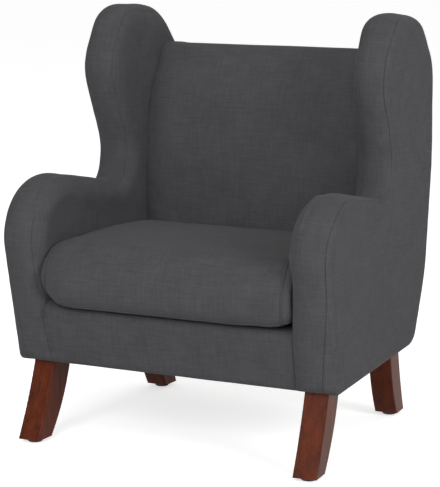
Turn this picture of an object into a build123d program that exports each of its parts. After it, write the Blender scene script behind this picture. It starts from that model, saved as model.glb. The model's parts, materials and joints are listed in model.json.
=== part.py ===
from build123d import *
import os
from math import cos, hypot, radians, sin, tan

# Child's wingback chair: two padded side units, each an arm and a wing in one profile, a seat frame
# and a curved back between them, four swept legs, and a loose cushion that pulls out to the front.
# Millimetres. The origin is on the floor under the middle of the chair, +Z is up, and the chair
# faces -Y. The sitter's left is +X.

# Overall sizes
overall_width = 562.0
overall_depth = 514.0
overall_height = 687.0
body_bottom = 128.5
wing_rise = 65.0                # the wings stand this far above the back
toe_angle = 2.6                 # each side unit turns in this far towards the rear, in degrees

# Cloth, padding and boards
cover = 1.5                     # furniture cloth with its backing
board = 9.0                     # plywood of the side boards
edge_width = 51.0               # padded edge strip, from seam to seam
edge_crown = 8.0                # rise of the edge strip between its seams
edge_pad = 6.0                  # foam between the board edges and the seams
outer_bulge = 3.0
outer_run = 26.0                # width over which the outside cover rises to its flat
inner_bulge = 13.0
inner_run = 30.0
least_radius = 3.0
corner_room_share = 0.995       # rounded corners take at most this share of the side between them
overrun = 6.0                   # how far a cutting shape goes past what it cuts
seat_gap = 0.3                  # clearance round the loose cushion
pad_gap = 0.8                   # between the back's padding and each arm

# Seat frame
rail_height = 76.5
rail = 22.0                     # timber of the rails and back posts
rail_setback = 12.0             # front rail behind the front seam line
post_depth = 35.0
post_setback = 3.0              # back posts in front of the rear edges of the boards
block_length = 62.0
batten = 30.0
brace_length = 45.0             # legs of the triangular corner braces

# Seat and back suspension
strap = 2.0
strap_width = 40.0
seat_straps = 5
back_straps = 5
strap_seat = 12.0               # length of strap that lies on each rail
staple = 0.8
staple_length = 10.0
deck_pad_height = 16.5
lip_radius = 14.0

# Back
back_rail_height = 58.0
back_low_rail_height = 38.0
back_pad_top = 20.0             # padding over the top rail
back_wrap = 14.0                # how far the outside back cloth wraps on to the top rail
seat_depth = 331.0              # cushion, from its front to the face of the back
back_crown = 12.0
back_crown_run = 40.0

# Legs: each is a flat plank, swept along the chair
leg_width = 39.0
leg_edge = 2.5
leg_hollow = 3.0                # bow of the leg's hollow edge, on the side it sweeps to
leg_round = 8.0                 # bow of its other edge
front_leg_inset = 17.5          # from the outer seam plane to the outer face of the leg
rear_leg_inset = 21.0
front_leg_place = 86.5          # from the front of the chair to the middle of the leg's top
rear_leg_place = 118.0          # from the rear of the chair
front_leg_top = 50.0            # length of the leg's top along the chair
rear_leg_top = 43.0
front_leg_foot = 41.0
rear_leg_foot = 39.0
front_leg_sweep = -56.0         # how far the foot stands behind its top
rear_leg_sweep = 39.0

# Glides and fixings
glide_radius = 12.0
glide_height = 6.0
glide_edge = 1.5
nail_radius = 1.2
nail_length = 18.0
nail_head_radius = 3.5
nail_head = 1.2
nail_recess = 2.0
bolt_radius = 4.0
bolt_length = 70.0
insert_radius = 6.0
insert_length = 30.0
fit = 0.1                       # radial clearance of metal in wood or plastic

# Screws and staples
screw_radius = 2.0
screw_length = 30.0
screw_head_radius = 4.0
screw_head = 2.6
screw_shares = (0.2, 0.5, 0.8)  # places along a side rail
dust_cover = 0.8
dust_margin = 12.0
staple_margin = 6.0             # staples in from the edges of the dust cover
dust_staples = 9                # along each of the front and rear edges

# Cushion
cushion_height = 109.0
cushion_play = 1.0              # between each end of the cushion and the arm beside it
cushion_front_radius = 42.0
cushion_rear_radius = 18.0
cushion_setback = 1.0           # front of the cushion behind the front of the arms
zip_inset = 48.0                # ends of the zip in from the ends of the cushion
zip_width = 16.0
zip_height = 0.4                # share of the cushion's height at which the zip runs
pull_length = 20.0
pull_width = 6.0
pull = 1.2

# Side profile: (depth share, height share, corner radius share of the height), from the front
# bottom corner up the arm, over the wing and down the back
profile_shares = (
    (0.092, 0.000, 0.022),
    (0.009, 0.376, 0.126),
    (0.083, 0.536, 0.165),
    (0.550, 0.453, 0.036),
    (0.600, 0.556, 0.160),
    (0.489, 0.822, 0.135),
    (0.592, 0.991, 0.081),
    (0.834, 0.964, 0.126),
    (0.966, 0.833, 0.126),
    (1.004, 0.556, 0.540),
    (0.944, 0.196, 0.270),
    (0.832, 0.000, 0.062),
)
edge_count = 8                  # of its sides from the front, the ones under the edge strip
rear_count = 3                  # the next ones, under the outside back cover

# Crown of the edge strip: (place across the strip, rise)
crown_shares = ((0.0, 0.0), (0.2, 0.68), (0.5, 1.0), (0.8, 0.68), (1.0, 0.0))
# Swell of a padded side cover: (run in from its edge, rise)
swell_shares = ((0.0, 0.0), (0.08, 0.36), (0.3, 0.76), (1.0, 1.0))
# Battens between the boards: (depth share, height share, height of the batten share)
batten_shares = ((0.09, 0.36, 0.10), (0.33, 0.38, 0.10), (0.60, 0.80, 0.13), (0.84, 0.55, 0.20))
# Face of the back: (depth share of the back, height share of the back, corner radius share)
back_shares = (
    (0.00, 0.000, 0.00),
    (0.01, 0.520, 0.50),
    (0.14, 0.810, 0.35),
    (0.40, 1.000, 0.10),
    (0.70, 0.989, 0.07),
    (1.05, 0.930, 0.00),
)
# Rise of the back's face across its width: (run in from its end, how far it is drawn in)
back_draw_shares = ((0.0, 1.0), (0.3, 0.45), (1.0, 0.1))
# Cushion: (height share, draw-in at the ends, at the front, at the rear, as shares of its height)
cushion_shares = (
    (0.00, 0.09, 0.22, 0.04),
    (0.08, 0.03, 0.10, 0.01),
    (0.26, 0.00, 0.02, 0.00),
    (0.52, 0.00, 0.00, 0.00),
    (0.74, 0.03, 0.06, 0.01),
    (0.86, 0.10, 0.16, 0.05),
    (0.93, 0.22, 0.30, 0.14),
    (0.97, 0.40, 0.50, 0.30),
    (1.00, 0.76, 0.88, 0.62),
)

# Worked-out sizes
front_y = -overall_depth / 2
back_top = overall_height - wing_rise
body_height = overall_height - body_bottom
half_width = overall_width / 2 - outer_bulge
nose_y = front_y + edge_crown
inner_face = edge_width + inner_bulge
rail_top = body_bottom + rail_height
pad_bottom = rail_top + strap + staple
deck_top = pad_bottom + deck_pad_height + cover
back_frame_top = back_top - back_pad_top - cover
frame_face = edge_width + rail
turn = radians(toe_angle)
front_step = edge_width * sin(turn)         # how far the turn brings the inner seams forward
toe_shift = frame_face * sin(turn) + overall_depth * (1 - cos(turn))
post_front = post_setback + post_depth
web_front = post_front + toe_shift
cushion_bottom = deck_top + seat_gap
cushion_front = front_y + cushion_setback
back_face = cushion_front + seat_depth
leg_top = body_bottom - dust_cover
reach = overall_width + overall_depth


def rounded(points, offsets, plane):
    """Polygon of (a, b, radius), clockwise, each side moved out by its offset, corners rounded."""
    lines = []
    count = len(points)
    for i in range(count):
        (a, b, _), (c, d, _) = points[i], points[(i + 1) % count]
        run = hypot(c - a, d - b)
        along = ((c - a) / run, (d - b) / run)
        lines.append((a - along[1] * offsets[i], b + along[0] * offsets[i], *along))
    corners = []
    radii = []
    taken = []
    for i in range(count):
        p, q, u, v = lines[i - 1]
        r, s, w, x = lines[i]
        turn = u * x - v * w
        step = ((r - p) * x - (s - q) * w) / turn
        corners.append((p + u * step, q + v * step))
        moved = (offsets[i - 1] + offsets[i]) / 2
        radius = points[i][2] + moved if turn < 0 else points[i][2] - moved
        radii.append(max(radius, least_radius))
        taken.append(radii[i] * abs(turn) / (1 + u * w + v * x))
    room = []
    for i in range(count):
        (a, b), (c, d) = corners[i], corners[(i + 1) % count]
        asked = taken[i] + taken[(i + 1) % count]
        room.append(min(1, corner_room_share * hypot(c - a, d - b) / asked))
    limited = [radius * min(room[i - 1], room[i]) for i, radius in enumerate(radii)]
    edge = FilletPolyline(*corners, radius=limited, close=True)
    return plane * make_face(edge)


def profile(depth, edge=0.0, rear=0.0, base=0.0):
    """Side profile at a depth inwards from the outer seam plane, its sides moved out."""
    points = [(front_y + a * overall_depth, body_bottom + b * body_height, c * body_height)
              for a, b, c in profile_shares]
    offsets = [edge] * edge_count + [rear] * rear_count + [base]
    return rounded(points, offsets, Plane.YZ.offset(-depth))


def slab(start, end, edge=0.0, rear=-cover, base=0.0):
    """Side profile as a flat board between two depths."""
    return extrude(profile(end, edge, rear, base), end - start)


def crowned(skin, rear=-cover, base=0.0):
    """Whole side unit under its edge strip, with the strip's crown, less a skin."""
    sections = [profile(edge_width * place, edge_crown * rise - skin, rear, base)
                for place, rise in crown_shares]
    return loft(sections)


def swell(start, rise, run, skin):
    """Padded swell on one face of a side unit: inwards where its rise is positive."""
    sections = [profile(start + rise * up, -skin - run * along, -cover - skin - run * along,
                        -run * along) for along, up in swell_shares]
    return loft(sections)


def seam_x(y, depth=0.0):
    """Half the width at a place along the chair, at a depth inwards from the outer seam plane."""
    return half_width - tan(turn) * (y - nose_y) - depth / cos(turn)


def between(depth, bottom=0.0, top=overall_height):
    """Room between the two side units at a depth inwards from their outer seam planes."""
    plan = Polyline((-seam_x(-reach, depth), -reach), (seam_x(-reach, depth), -reach),
                    (seam_x(reach, depth), reach), (-seam_x(reach, depth), reach), close=True)
    return Pos(0, 0, bottom) * extrude(make_face(plan), top - bottom)


def across(face, depth):
    """A face in the side plane, run across the chair between the side units."""
    return extrude(face, overall_width / 2, both=True) & between(depth)


def level(bottom, top):
    """Everything between two heights."""
    return Pos(0, 0, bottom) * extrude(Rectangle(2 * reach, 2 * reach), top - bottom)


def point(index):
    """One corner of the side profile as a place along the chair and a height."""
    a, b, _ = profile_shares[index]
    return front_y + a * overall_depth, body_bottom + b * body_height


def past(start, end):
    """Place beyond the end of a line from start to end, far outside the chair."""
    run = hypot(end[0] - start[0], end[1] - start[1])
    return (end[0] + reach * (end[0] - start[0]) / run, end[1] + reach * (end[1] - start[1]) / run)


def behind_front(setback):
    """Everything behind the inner front seams, less a setback, run across the chair."""
    low = past(point(1), point(0))
    high = past(point(0), point(1))
    corners = (low, high, (reach, high[1]), (reach, low[1]))
    points = [(a, b, 0.0) for a, b in corners]
    face = rounded(points, (-setback, 0.0, 0.0, 0.0), Plane.YZ)
    return Pos(0, -front_step, 0) * extrude(face, overall_width / 2, both=True)


def before_rear(setback):
    """Everything in front of the rear outline, less a setback, run across the chair."""
    first = edge_count
    last = edge_count + rear_count
    high = past(point(first + 1), point(first))
    low = past(point(last - 1), point(last))
    corners = [(-reach, low[1]), (-reach, high[1]), high]
    corners += [point(i) for i in range(first + 1, last)] + [low]
    radii = [0.0, 0.0, 0.0] + [profile_shares[i][2] for i in range(first + 1, last)] + [0.0]
    points = [(a, b, share * body_height) for (a, b), share in zip(corners, radii)]
    offsets = [0.0, 0.0] + [-setback] * rear_count + [0.0]
    return extrude(rounded(points, offsets, Plane.YZ), overall_width / 2, both=True)


def front_band(near, far, bottom, top):
    """Strip behind the inner front seams, between two setbacks and two heights."""
    body = extrude(profile(0.0, -near, -post_setback), overall_width / 2, both=True)
    strip = Pos(0, -front_step, 0) * body - behind_front(far)
    return strip & between(edge_width, bottom, top)


def rear_band(near, far, bottom, top):
    """Strip in front of the rear outline, between two setbacks and two heights."""
    body = extrude(profile(0.0, -cover, -cover - post_setback), overall_width / 2, both=True)
    return (before_rear(near) - before_rear(far)) & body & between(0.0, bottom, top)


def solids_of(*shapes):
    """One group of separate solids."""
    parts = [solid for shape in shapes for solid in shape.solids()]
    return Compound(parts)


def left(shape):
    """From side coordinates, with the outer seam plane at zero, to the sitter's left."""
    return Pos(half_width, nose_y, 0) * Rot(0, 0, toe_angle) * Pos(0, -nose_y, 0) * shape


def right(shape):
    """The same on the sitter's right."""
    return mirror(left(shape), about=Plane.YZ)


# Side units
def leg_place(front):
    """Middle of a leg's top in side coordinates: depth inwards and place along the chair."""
    inset = front_leg_inset if front else rear_leg_inset
    place = front_leg_place if front else overall_depth - rear_leg_place
    return inset + leg_width / 2, front_y + place


def leg_block(front):
    """Block between the boards that takes the leg's bolt, with its threaded insert's hole."""
    depth, y = leg_place(front)
    width = frame_face - board
    block = Pos(-board - width / 2, y, body_bottom + rail_height / 2) * Box(
        width, block_length, rail_height)
    room = slab(0.0, frame_face, -edge_pad, -cover - post_setback)
    hole = Pos(-depth, y, body_bottom) * extrude(
        Circle(insert_radius + fit), insert_length + fit)
    return block & room & behind_front(rail_setback + toe_shift) - hole


def outer_board():
    return slab(0.0, board, -edge_pad)


def inner_board():
    """Inside board, notched round the leg blocks, with pilot holes for the rail screws."""
    shape = slab(edge_width - board, edge_width, -edge_pad)
    for front in (True, False):
        _, y = leg_place(front)
        shape -= Pos(-edge_width, y, body_bottom) * Box(
            2 * frame_face, block_length, 2 * rail_height)
    for hole in rail_screw_holes():
        shape -= hole
    return shape


def side_battens():
    """Battens that hold the two boards of a side unit apart."""
    width = edge_width - 2 * board
    parts = []
    for a, b, tall in batten_shares:
        y = front_y + a * overall_depth
        z = body_bottom + b * body_height
        parts.append(Pos(-edge_width / 2, y, z) * Box(width, batten, tall * body_height))
    near, far = block_ends()
    parts.append(Pos(-edge_width / 2, (near + far) / 2, body_bottom + batten / 2) * Box(
        width, far - near, batten))
    return solids_of(*parts)


def edge_foam():
    """Crowned foam round the front and top edges of the boards."""
    boards = slab(-overrun, edge_width + overrun, -edge_pad, overrun, overrun)
    return crowned(cover) - boards


def boxing():
    """Cloth strip over the edge foam, from seam to seam."""
    return crowned(0.0) - crowned(cover, overrun, 4 * overrun)


def outer_wadding():
    return swell(0.0, -(outer_bulge - cover), outer_run, cover)


def outer_cover():
    return swell(0.0, -outer_bulge, outer_run, 0.0) - outer_wadding()


def clear_of_frame(shape):
    """Inside padding cut clear of the seat below it and the back frame behind it."""
    below = level(-overall_height, deck_top)
    behind = level(0.0, back_frame_top) - before_rear(web_front + strap + staple)
    return shape - below - behind


def inner_foam():
    return clear_of_frame(swell(edge_width, inner_bulge - cover, inner_run, cover))


def inner_cover():
    whole = swell(edge_width, inner_bulge, inner_run, 0.0)
    return clear_of_frame(whole - swell(edge_width, inner_bulge - cover, inner_run, cover))


# Seat frame
def block_ends():
    """Places along the chair of the rear face of the front block and the front of the rear one."""
    return (leg_place(True)[1] + block_length / 2, leg_place(False)[1] - block_length / 2)


def screw_places():
    near, far = block_ends()
    return [near + share * (far - near) for share in screw_shares]


def screw(radius, head, length, head_length):
    """Countersunk screw along +Z with the top of its head at zero."""
    shank = extrude(Circle(radius), -length)
    cone = Pos(0, 0, -head_length) * Cone(
        radius, head, head_length, align=(Align.CENTER, Align.CENTER, Align.MIN))
    return shank + cone


def rail_screw_holes():
    """Holes for the side rail's screws, in side coordinates."""
    z = body_bottom + rail_height / 2
    return [Pos(-frame_face, y, z) * Rot(0, -90, 0) * screw(
        screw_radius + fit, screw_head_radius + fit, screw_length + fit, screw_head)
        for y in screw_places()]


def rail_screws():
    z = body_bottom + rail_height / 2
    return [Pos(-frame_face, y, z) * Rot(0, -90, 0) * screw(
        screw_radius, screw_head_radius, screw_length, screw_head) for y in screw_places()]


def side_rail():
    near, far = block_ends()
    shape = Pos(-edge_width - rail / 2, (near + far) / 2, body_bottom + rail_height / 2) * Box(
        rail, far - near, rail_height)
    for hole in rail_screw_holes():
        shape -= hole
    return shape


def front_rail():
    return front_band(rail_setback, rail_setback + rail, body_bottom, rail_top) & between(frame_face)


def rear_rail():
    return rear_band(cover + post_setback, cover + post_setback + rail, body_bottom,
                     rail_top) & between(frame_face)


def corner_brace():
    """Triangular brace in a front corner of the seat frame, in side coordinates."""
    near, _ = block_ends()
    tip = (-frame_face, near)
    plan = Polyline(tip, (-frame_face - brace_length, near), (-frame_face, near + brace_length),
                    close=True)
    return Pos(0, 0, body_bottom + rail_height / 4) * extrude(make_face(plan), rail_height / 2)


# Back frame
def back_post():
    """Curved post on the inside board, in side coordinates."""
    shape = slab(edge_width, frame_face, overrun, -cover - post_setback) - before_rear(post_front)
    _, y = leg_place(False)
    block = Pos(-frame_face, y, body_bottom) * Box(2 * frame_face, block_length, 2 * rail_height)
    return shape & level(body_bottom, back_frame_top) - block


def back_rail(bottom, height):
    return rear_band(cover + post_setback, cover + post_setback + rail, bottom,
                     bottom + height) & between(frame_face)


# Suspension
def strap_places(count, low, high):
    """Middles of evenly spread straps between two limits."""
    pitch = (high - low) / count
    return [low + (i + 1 / 2) * pitch for i in range(count)]


def seat_strap_ends():
    """Front and rear ends of the seat straps."""
    front = front_rail().faces().sort_by(Axis.Z)[-1].bounding_box()
    rear = rear_rail().faces().sort_by(Axis.Z)[-1].bounding_box()
    return front.max.Y - strap_seat, rear.min.Y + strap_seat


def seat_webbing():
    near, far = seat_strap_ends()
    half = seam_x(far, frame_face)
    return solids_of(*[
        Pos(x, (near + far) / 2, rail_top + strap / 2) * Box(strap_width, far - near, strap)
        for x in strap_places(seat_straps, -half, half)])


def back_webbing():
    places = strap_places(back_straps, deck_top, back_frame_top)
    return solids_of(*[
        rear_band(web_front, web_front + strap, z - strap_width / 2, z + strap_width / 2)
        & between(edge_width) for z in places])


def webbing_staples():
    """Staple crowns across the strap ends, on the rails and on the back posts."""
    near, far = seat_strap_ends()
    half = seam_x(far, frame_face)
    crown = Box(staple_length, staple, staple)
    height = rail_top + strap + staple / 2
    parts = []
    for x in strap_places(seat_straps, -half, half):
        for y in (near + strap_seat / 2, far - strap_seat / 2):
            parts += [Pos(x + side * strap_width / 4, y, height) * crown for side in (-1, 1)]
    room = Pos(-edge_width - rail / 2, 0, 0) * Box(staple, reach, 2 * reach)
    for z in strap_places(back_straps, deck_top, back_frame_top):
        row = rear_band(web_front + strap, web_front + strap + staple, z - staple_length / 2,
                        z + staple_length / 2)
        parts += [row & left(room), row & right(room)]
    return solids_of(*parts)


# Seat and back padding
def front_block(skin):
    """Padded front edge of the seat with its round lip, less a skin."""
    shape = front_band(skin, rail_setback + rail, body_bottom, deck_top - skin)
    lip = shape.faces().sort_by(Axis.Z)[-1].edges().sort_by(Axis.Y)[0]
    return fillet(lip, lip_radius - skin)


def front_foam():
    return front_block(cover) - (behind_front(rail_setback) & level(0.0, pad_bottom))


def front_cover():
    return front_block(0.0) - front_block(cover)


def deck_layer(bottom, top):
    """Layer of the seat deck, behind the front edge and in front of the back frame."""
    shape = behind_front(rail_setback + rail) & before_rear(web_front + strap + staple)
    return shape & between(edge_width, bottom, top)


def deck_pad():
    return deck_layer(pad_bottom, deck_top - cover)


def deck_cover():
    return deck_layer(deck_top - cover, deck_top)


def back_section(x, drawn, skin):
    """Upright section of the back's padding at a place across the chair."""
    depth = overall_depth / 2 - back_face
    height = back_top - deck_top
    points = [(back_face + a * depth, deck_top + b * height, c * height)
              for a, b, c in back_shares]
    points.append((points[-1][0], deck_top, 0.0))
    pulled = -skin - drawn * back_crown
    offsets = [pulled] * (len(back_shares) - 1) + [0.0, 0.0]
    return rounded(points, offsets, Plane.YZ.offset(x))


def back_block(skin):
    """Padding of the back with its crown and its rolled top, less a skin."""
    end = seam_x(back_face, inner_face)
    places = [(-end + share * back_crown_run, drawn) for share, drawn in back_draw_shares]
    places += [(0.0, 0.0)] + [(-x, drawn) for x, drawn in reversed(places)]
    shape = loft([back_section(x, drawn, skin) for x, drawn in places])
    outline = extrude(profile(0.0, -skin, -cover), overall_width / 2, both=True)
    frame = level(0.0, back_frame_top) - before_rear(web_front + strap + staple)
    return shape & outline & between(inner_face + pad_gap, 0.0, overall_height) - frame


def back_foam():
    return back_block(cover)


def back_cover():
    return back_block(0.0) - back_block(cover)


def outer_back_cover():
    """Cloth over the whole rear, from side to side."""
    low = body_bottom + cover
    strip = extrude(profile(0.0) - profile(0.0, overrun, -cover), overall_width / 2, both=True)
    ring = extrude(profile(0.0) - profile(0.0, -cover, -cover), overall_width / 2, both=True)
    wrap = (ring - before_rear(back_wrap)) & between(edge_width, low, back_frame_top)
    return (strip & between(0.0, low, back_frame_top)) + wrap


# Underside
def dust_ends():
    """Front and rear edges of the dust cover."""
    return point(0)[0] + dust_margin, point(-1)[0] - dust_margin


def bolt_places():
    """Places of the leg bolts, left and right."""
    places = []
    for front in (True, False):
        depth, y = leg_place(front)
        spot = left(Pos(-depth, y, 0) * Sphere(bolt_radius)).center()
        places += [(spot.X, spot.Y), (-spot.X, spot.Y)]
    return places


def bottom_cloth():
    """Dust cover, with a hole for each leg bolt."""
    near, far = dust_ends()
    shape = between(dust_margin, leg_top, body_bottom) & Pos(0, (near + far) / 2, body_bottom) * Box(
        2 * overall_width, far - near, overall_height)
    for x, y in bolt_places():
        shape -= Pos(x, y, leg_top - overrun) * extrude(Circle(bolt_radius + fit), 2 * overrun)
    return shape


def dust_cover_staples():
    """Staple crowns along the edges of the dust cover, clear of the legs."""
    near, far = dust_ends()
    low = leg_top - staple / 2
    parts = []
    for y in (near + staple_margin, far - staple_margin):
        half = seam_x(y, frame_face) - staple_length
        parts += [Pos(x, y, low) * Box(staple_length, staple, staple)
                  for x in strap_places(dust_staples, -half, half)]
    start, end = block_ends()
    for y in strap_places(dust_staples, start, end):
        piece = Pos(-dust_margin - staple_margin, y, low) * Box(staple, staple_length, staple)
        parts += [left(piece), right(piece)]
    return solids_of(*parts)


# Legs
def leg(front):
    """Swept leg in side coordinates, with its holes for the bolt and the glide's nail."""
    depth, y = leg_place(front)
    top = front_leg_top if front else rear_leg_top
    foot = front_leg_foot if front else rear_leg_foot
    sweep = front_leg_sweep if front else rear_leg_sweep
    bows = (leg_hollow, leg_round) if front else (-leg_round, -leg_hollow)
    middle = (leg_top + glide_height) / 2
    edges = []
    for side, bow in zip((-1, 1), bows):
        high = (y + side * top / 2, leg_top)
        low = (y + sweep + side * foot / 2, glide_height)
        bend = ((high[0] + low[0]) / 2 + bow, middle)
        edges.append((high, bend, low))
    (a, b, c), (d, e, f) = edges
    outline = Curve() + [ThreePointArc(a, b, c), Line(c, f), ThreePointArc(f, e, d), Line(d, a)]
    shape = extrude(Plane.YZ.offset(-depth) * make_face(outline), leg_width / 2, both=True)
    upright = [edge for edge in shape.edges() if edge.geom_type == GeomType.CIRCLE]
    shape = fillet(upright, leg_edge)
    shape -= Pos(-depth, y, leg_top) * extrude(
        Circle(bolt_radius + fit), -(bolt_length - insert_length) - fit)
    shape -= Pos(-depth, y + sweep, 0) * extrude(
        Circle(nail_radius + fit), nail_recess + nail_head + nail_length + fit)
    return shape


def foot_place(front):
    """Middle of a leg's foot in side coordinates."""
    depth, y = leg_place(front)
    return depth, y + (front_leg_sweep if front else rear_leg_sweep)


def glide(front):
    """Round glide with a recess for its nail."""
    depth, y = foot_place(front)
    pad = extrude(Circle(glide_radius), glide_height)
    pad = fillet(pad.edges().group_by(Axis.Z)[0], glide_edge)
    recess = extrude(Circle(nail_head_radius + fit), nail_recess + nail_head)
    shank = extrude(Circle(nail_radius + fit), glide_height)
    return Pos(-depth, y, 0) * (pad - recess - shank)


def nail(front):
    depth, y = foot_place(front)
    head = Pos(0, 0, nail_recess) * extrude(Circle(nail_head_radius), nail_head)
    shank = Pos(0, 0, nail_recess) * extrude(Circle(nail_radius), nail_head + nail_length)
    return Pos(-depth, y, 0) * (head + shank)


def insert(front):
    """Threaded insert in a leg block."""
    depth, y = leg_place(front)
    sleeve = extrude(Circle(insert_radius) - Circle(bolt_radius + fit), insert_length)
    return Pos(-depth, y, body_bottom) * sleeve


def bolt(front):
    """Hanger bolt from the insert into the leg."""
    depth, y = leg_place(front)
    return Pos(-depth, y, body_bottom + insert_length) * extrude(Circle(bolt_radius), -bolt_length)


def four(make):
    """A piece at each of the four corners, as one group."""
    parts = []
    for front in (True, False):
        piece = make(front)
        parts += [left(piece), right(piece)]
    return solids_of(*parts)


def both(shape):
    """A piece of each side unit, as one group."""
    return solids_of(left(shape), right(shape))


# Cushion
def cushion_block(skin):
    """Loose cushion with its crown, drawn-in ends and round front, less a skin."""
    rear = back_face - seat_gap
    wide = seam_x(cushion_front, inner_face + cushion_play)
    narrow = seam_x(rear, inner_face + cushion_play)
    sections = []
    for height, end, front, back in cushion_shares:
        ends, fronts, backs = [-skin - share * cushion_height for share in (end, front, back)]
        corners = ((-narrow, rear, backs), (narrow, rear, backs),
                   (wide, cushion_front, fronts), (-wide, cushion_front, fronts))
        points = []
        for x, y, moved in corners:
            radius = cushion_rear_radius if y == rear else cushion_front_radius
            points.append((x, y, radius - (moved + ends) / 2))
        z = cushion_bottom + skin + height * (cushion_height - 2 * skin)
        sections.append(rounded(points, (backs, ends, fronts, ends), Plane.XY.offset(z)))
    return loft(sections, ruled=True)


def zip_length():
    """Length of the zip, from the width of the cushion's rear."""
    return 2 * (seam_x(back_face, inner_face + cushion_play) - zip_inset)


def zip_room(spare):
    """Slot in the rear of the cushion's cover for its zip."""
    y = back_face - seat_gap
    z = cushion_bottom + zip_height * cushion_height
    return Pos(0, y, z) * Box(zip_length() + 2 * spare, 2 * cover - pull / 2 + spare,
                              zip_width + 2 * spare)


def cushion_foam():
    return cushion_block(cover)


def cushion_cover():
    return cushion_block(0.0) - cushion_block(cover) - zip_room(fit)


def cushion_zip():
    """Zip tape in the slot, set back from the cover's rear face."""
    y = back_face - seat_gap - pull
    z = cushion_bottom + zip_height * cushion_height
    return Pos(0, y, z) * Box(zip_length(), pull / 2, zip_width, align=(
        Align.CENTER, Align.MIN, Align.CENTER))


def cushion_zip_pull():
    y = back_face - seat_gap - pull / 2
    z = cushion_bottom + zip_height * cushion_height
    return Pos(zip_length() / 2 - pull_length, y, z) * Box(
        pull_length, pull / 2, pull_width, align=(Align.CENTER, Align.MIN, Align.CENTER))


def pair(name, make):
    """The same piece on the left and on the right, each its own node."""
    shape = make()
    return {"left_" + name: left(shape), "right_" + name: right(shape)}


def nodes():
    """Every piece of the chair by its name."""
    parts = {}
    for name, make in (
        ("outer_board", outer_board), ("inner_board", inner_board),
        ("side_battens", side_battens), ("edge_foam", edge_foam), ("edge_strip", boxing),
        ("outer_wadding", outer_wadding), ("outer_cover", outer_cover),
        ("inner_foam", inner_foam), ("inner_cover", inner_cover), ("seat_rail", side_rail),
        ("corner_brace", corner_brace), ("back_post", back_post),
    ):
        parts.update(pair(name, make))
    parts["front_rail"] = front_rail()
    parts["rear_rail"] = rear_rail()
    parts["leg_blocks"] = four(leg_block)
    parts["back_top_rail"] = back_rail(back_frame_top - back_rail_height, back_rail_height)
    parts["back_low_rail"] = back_rail(deck_top, back_low_rail_height)
    parts["rail_screws"] = both(solids_of(*rail_screws()))
    parts["seat_webbing"] = seat_webbing()
    parts["back_webbing"] = back_webbing()
    parts["webbing_staples"] = webbing_staples()
    parts["deck_pad"] = deck_pad()
    parts["deck_cover"] = deck_cover()
    parts["front_foam"] = front_foam()
    parts["front_cover"] = front_cover()
    parts["back_foam"] = back_foam()
    parts["back_cover"] = back_cover()
    parts["outer_back_cover"] = outer_back_cover()
    parts["dust_cover"] = bottom_cloth()
    parts["dust_cover_staples"] = dust_cover_staples()
    for front, word in ((True, "front"), (False, "rear")):
        piece = leg(front)
        parts[word + "_left_leg"] = left(piece)
        parts[word + "_right_leg"] = right(piece)
    parts["leg_inserts"] = four(insert)
    parts["leg_bolts"] = four(bolt)
    parts["leg_glides"] = four(glide)
    parts["glide_nails"] = four(nail)
    parts["cushion_foam"] = cushion_foam()
    parts["cushion_cover"] = cushion_cover()
    parts["cushion_zip"] = cushion_zip()
    parts["cushion_zip_pull"] = cushion_zip_pull()
    return parts


if __name__ == "__main__":
    os.makedirs("parts", exist_ok=True)
    for name, shape in nodes().items():
        export_step(shape, "parts/" + name + ".step")
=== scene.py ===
import json
import math

import bmesh
import bpy
import numpy as np
from bpy.props import FloatProperty, PointerProperty, StringProperty
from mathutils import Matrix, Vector, kdtree, noise
from mathutils.bvhtree import BVHTree
from mathutils.geometry import delaunay_2d_cdt


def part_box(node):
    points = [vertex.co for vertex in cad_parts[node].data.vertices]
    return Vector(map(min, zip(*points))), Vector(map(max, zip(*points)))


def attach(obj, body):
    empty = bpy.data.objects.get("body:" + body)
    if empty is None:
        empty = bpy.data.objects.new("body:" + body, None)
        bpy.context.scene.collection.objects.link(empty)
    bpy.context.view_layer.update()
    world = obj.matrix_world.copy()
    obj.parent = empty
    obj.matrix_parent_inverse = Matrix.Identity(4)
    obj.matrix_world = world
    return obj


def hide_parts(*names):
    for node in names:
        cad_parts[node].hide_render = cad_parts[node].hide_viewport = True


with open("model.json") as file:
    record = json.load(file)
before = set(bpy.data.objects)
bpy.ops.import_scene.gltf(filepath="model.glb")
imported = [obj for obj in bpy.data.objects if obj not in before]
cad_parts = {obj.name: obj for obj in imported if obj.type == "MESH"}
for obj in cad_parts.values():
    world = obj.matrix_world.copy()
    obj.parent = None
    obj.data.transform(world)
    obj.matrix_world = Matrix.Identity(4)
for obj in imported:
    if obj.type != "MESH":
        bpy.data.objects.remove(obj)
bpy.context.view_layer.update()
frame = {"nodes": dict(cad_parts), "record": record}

bl_info = {
    "name": "Child Wingback Chair",
    "version": (1, 0, 0),
    "blender": (4, 5, 0),
    "location": "3D Viewport > Sidebar > Chair",
    "description": "Dresses a child's wingback chair with cloth, padding and lacquer",
    "category": "Add Mesh",
}

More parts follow.
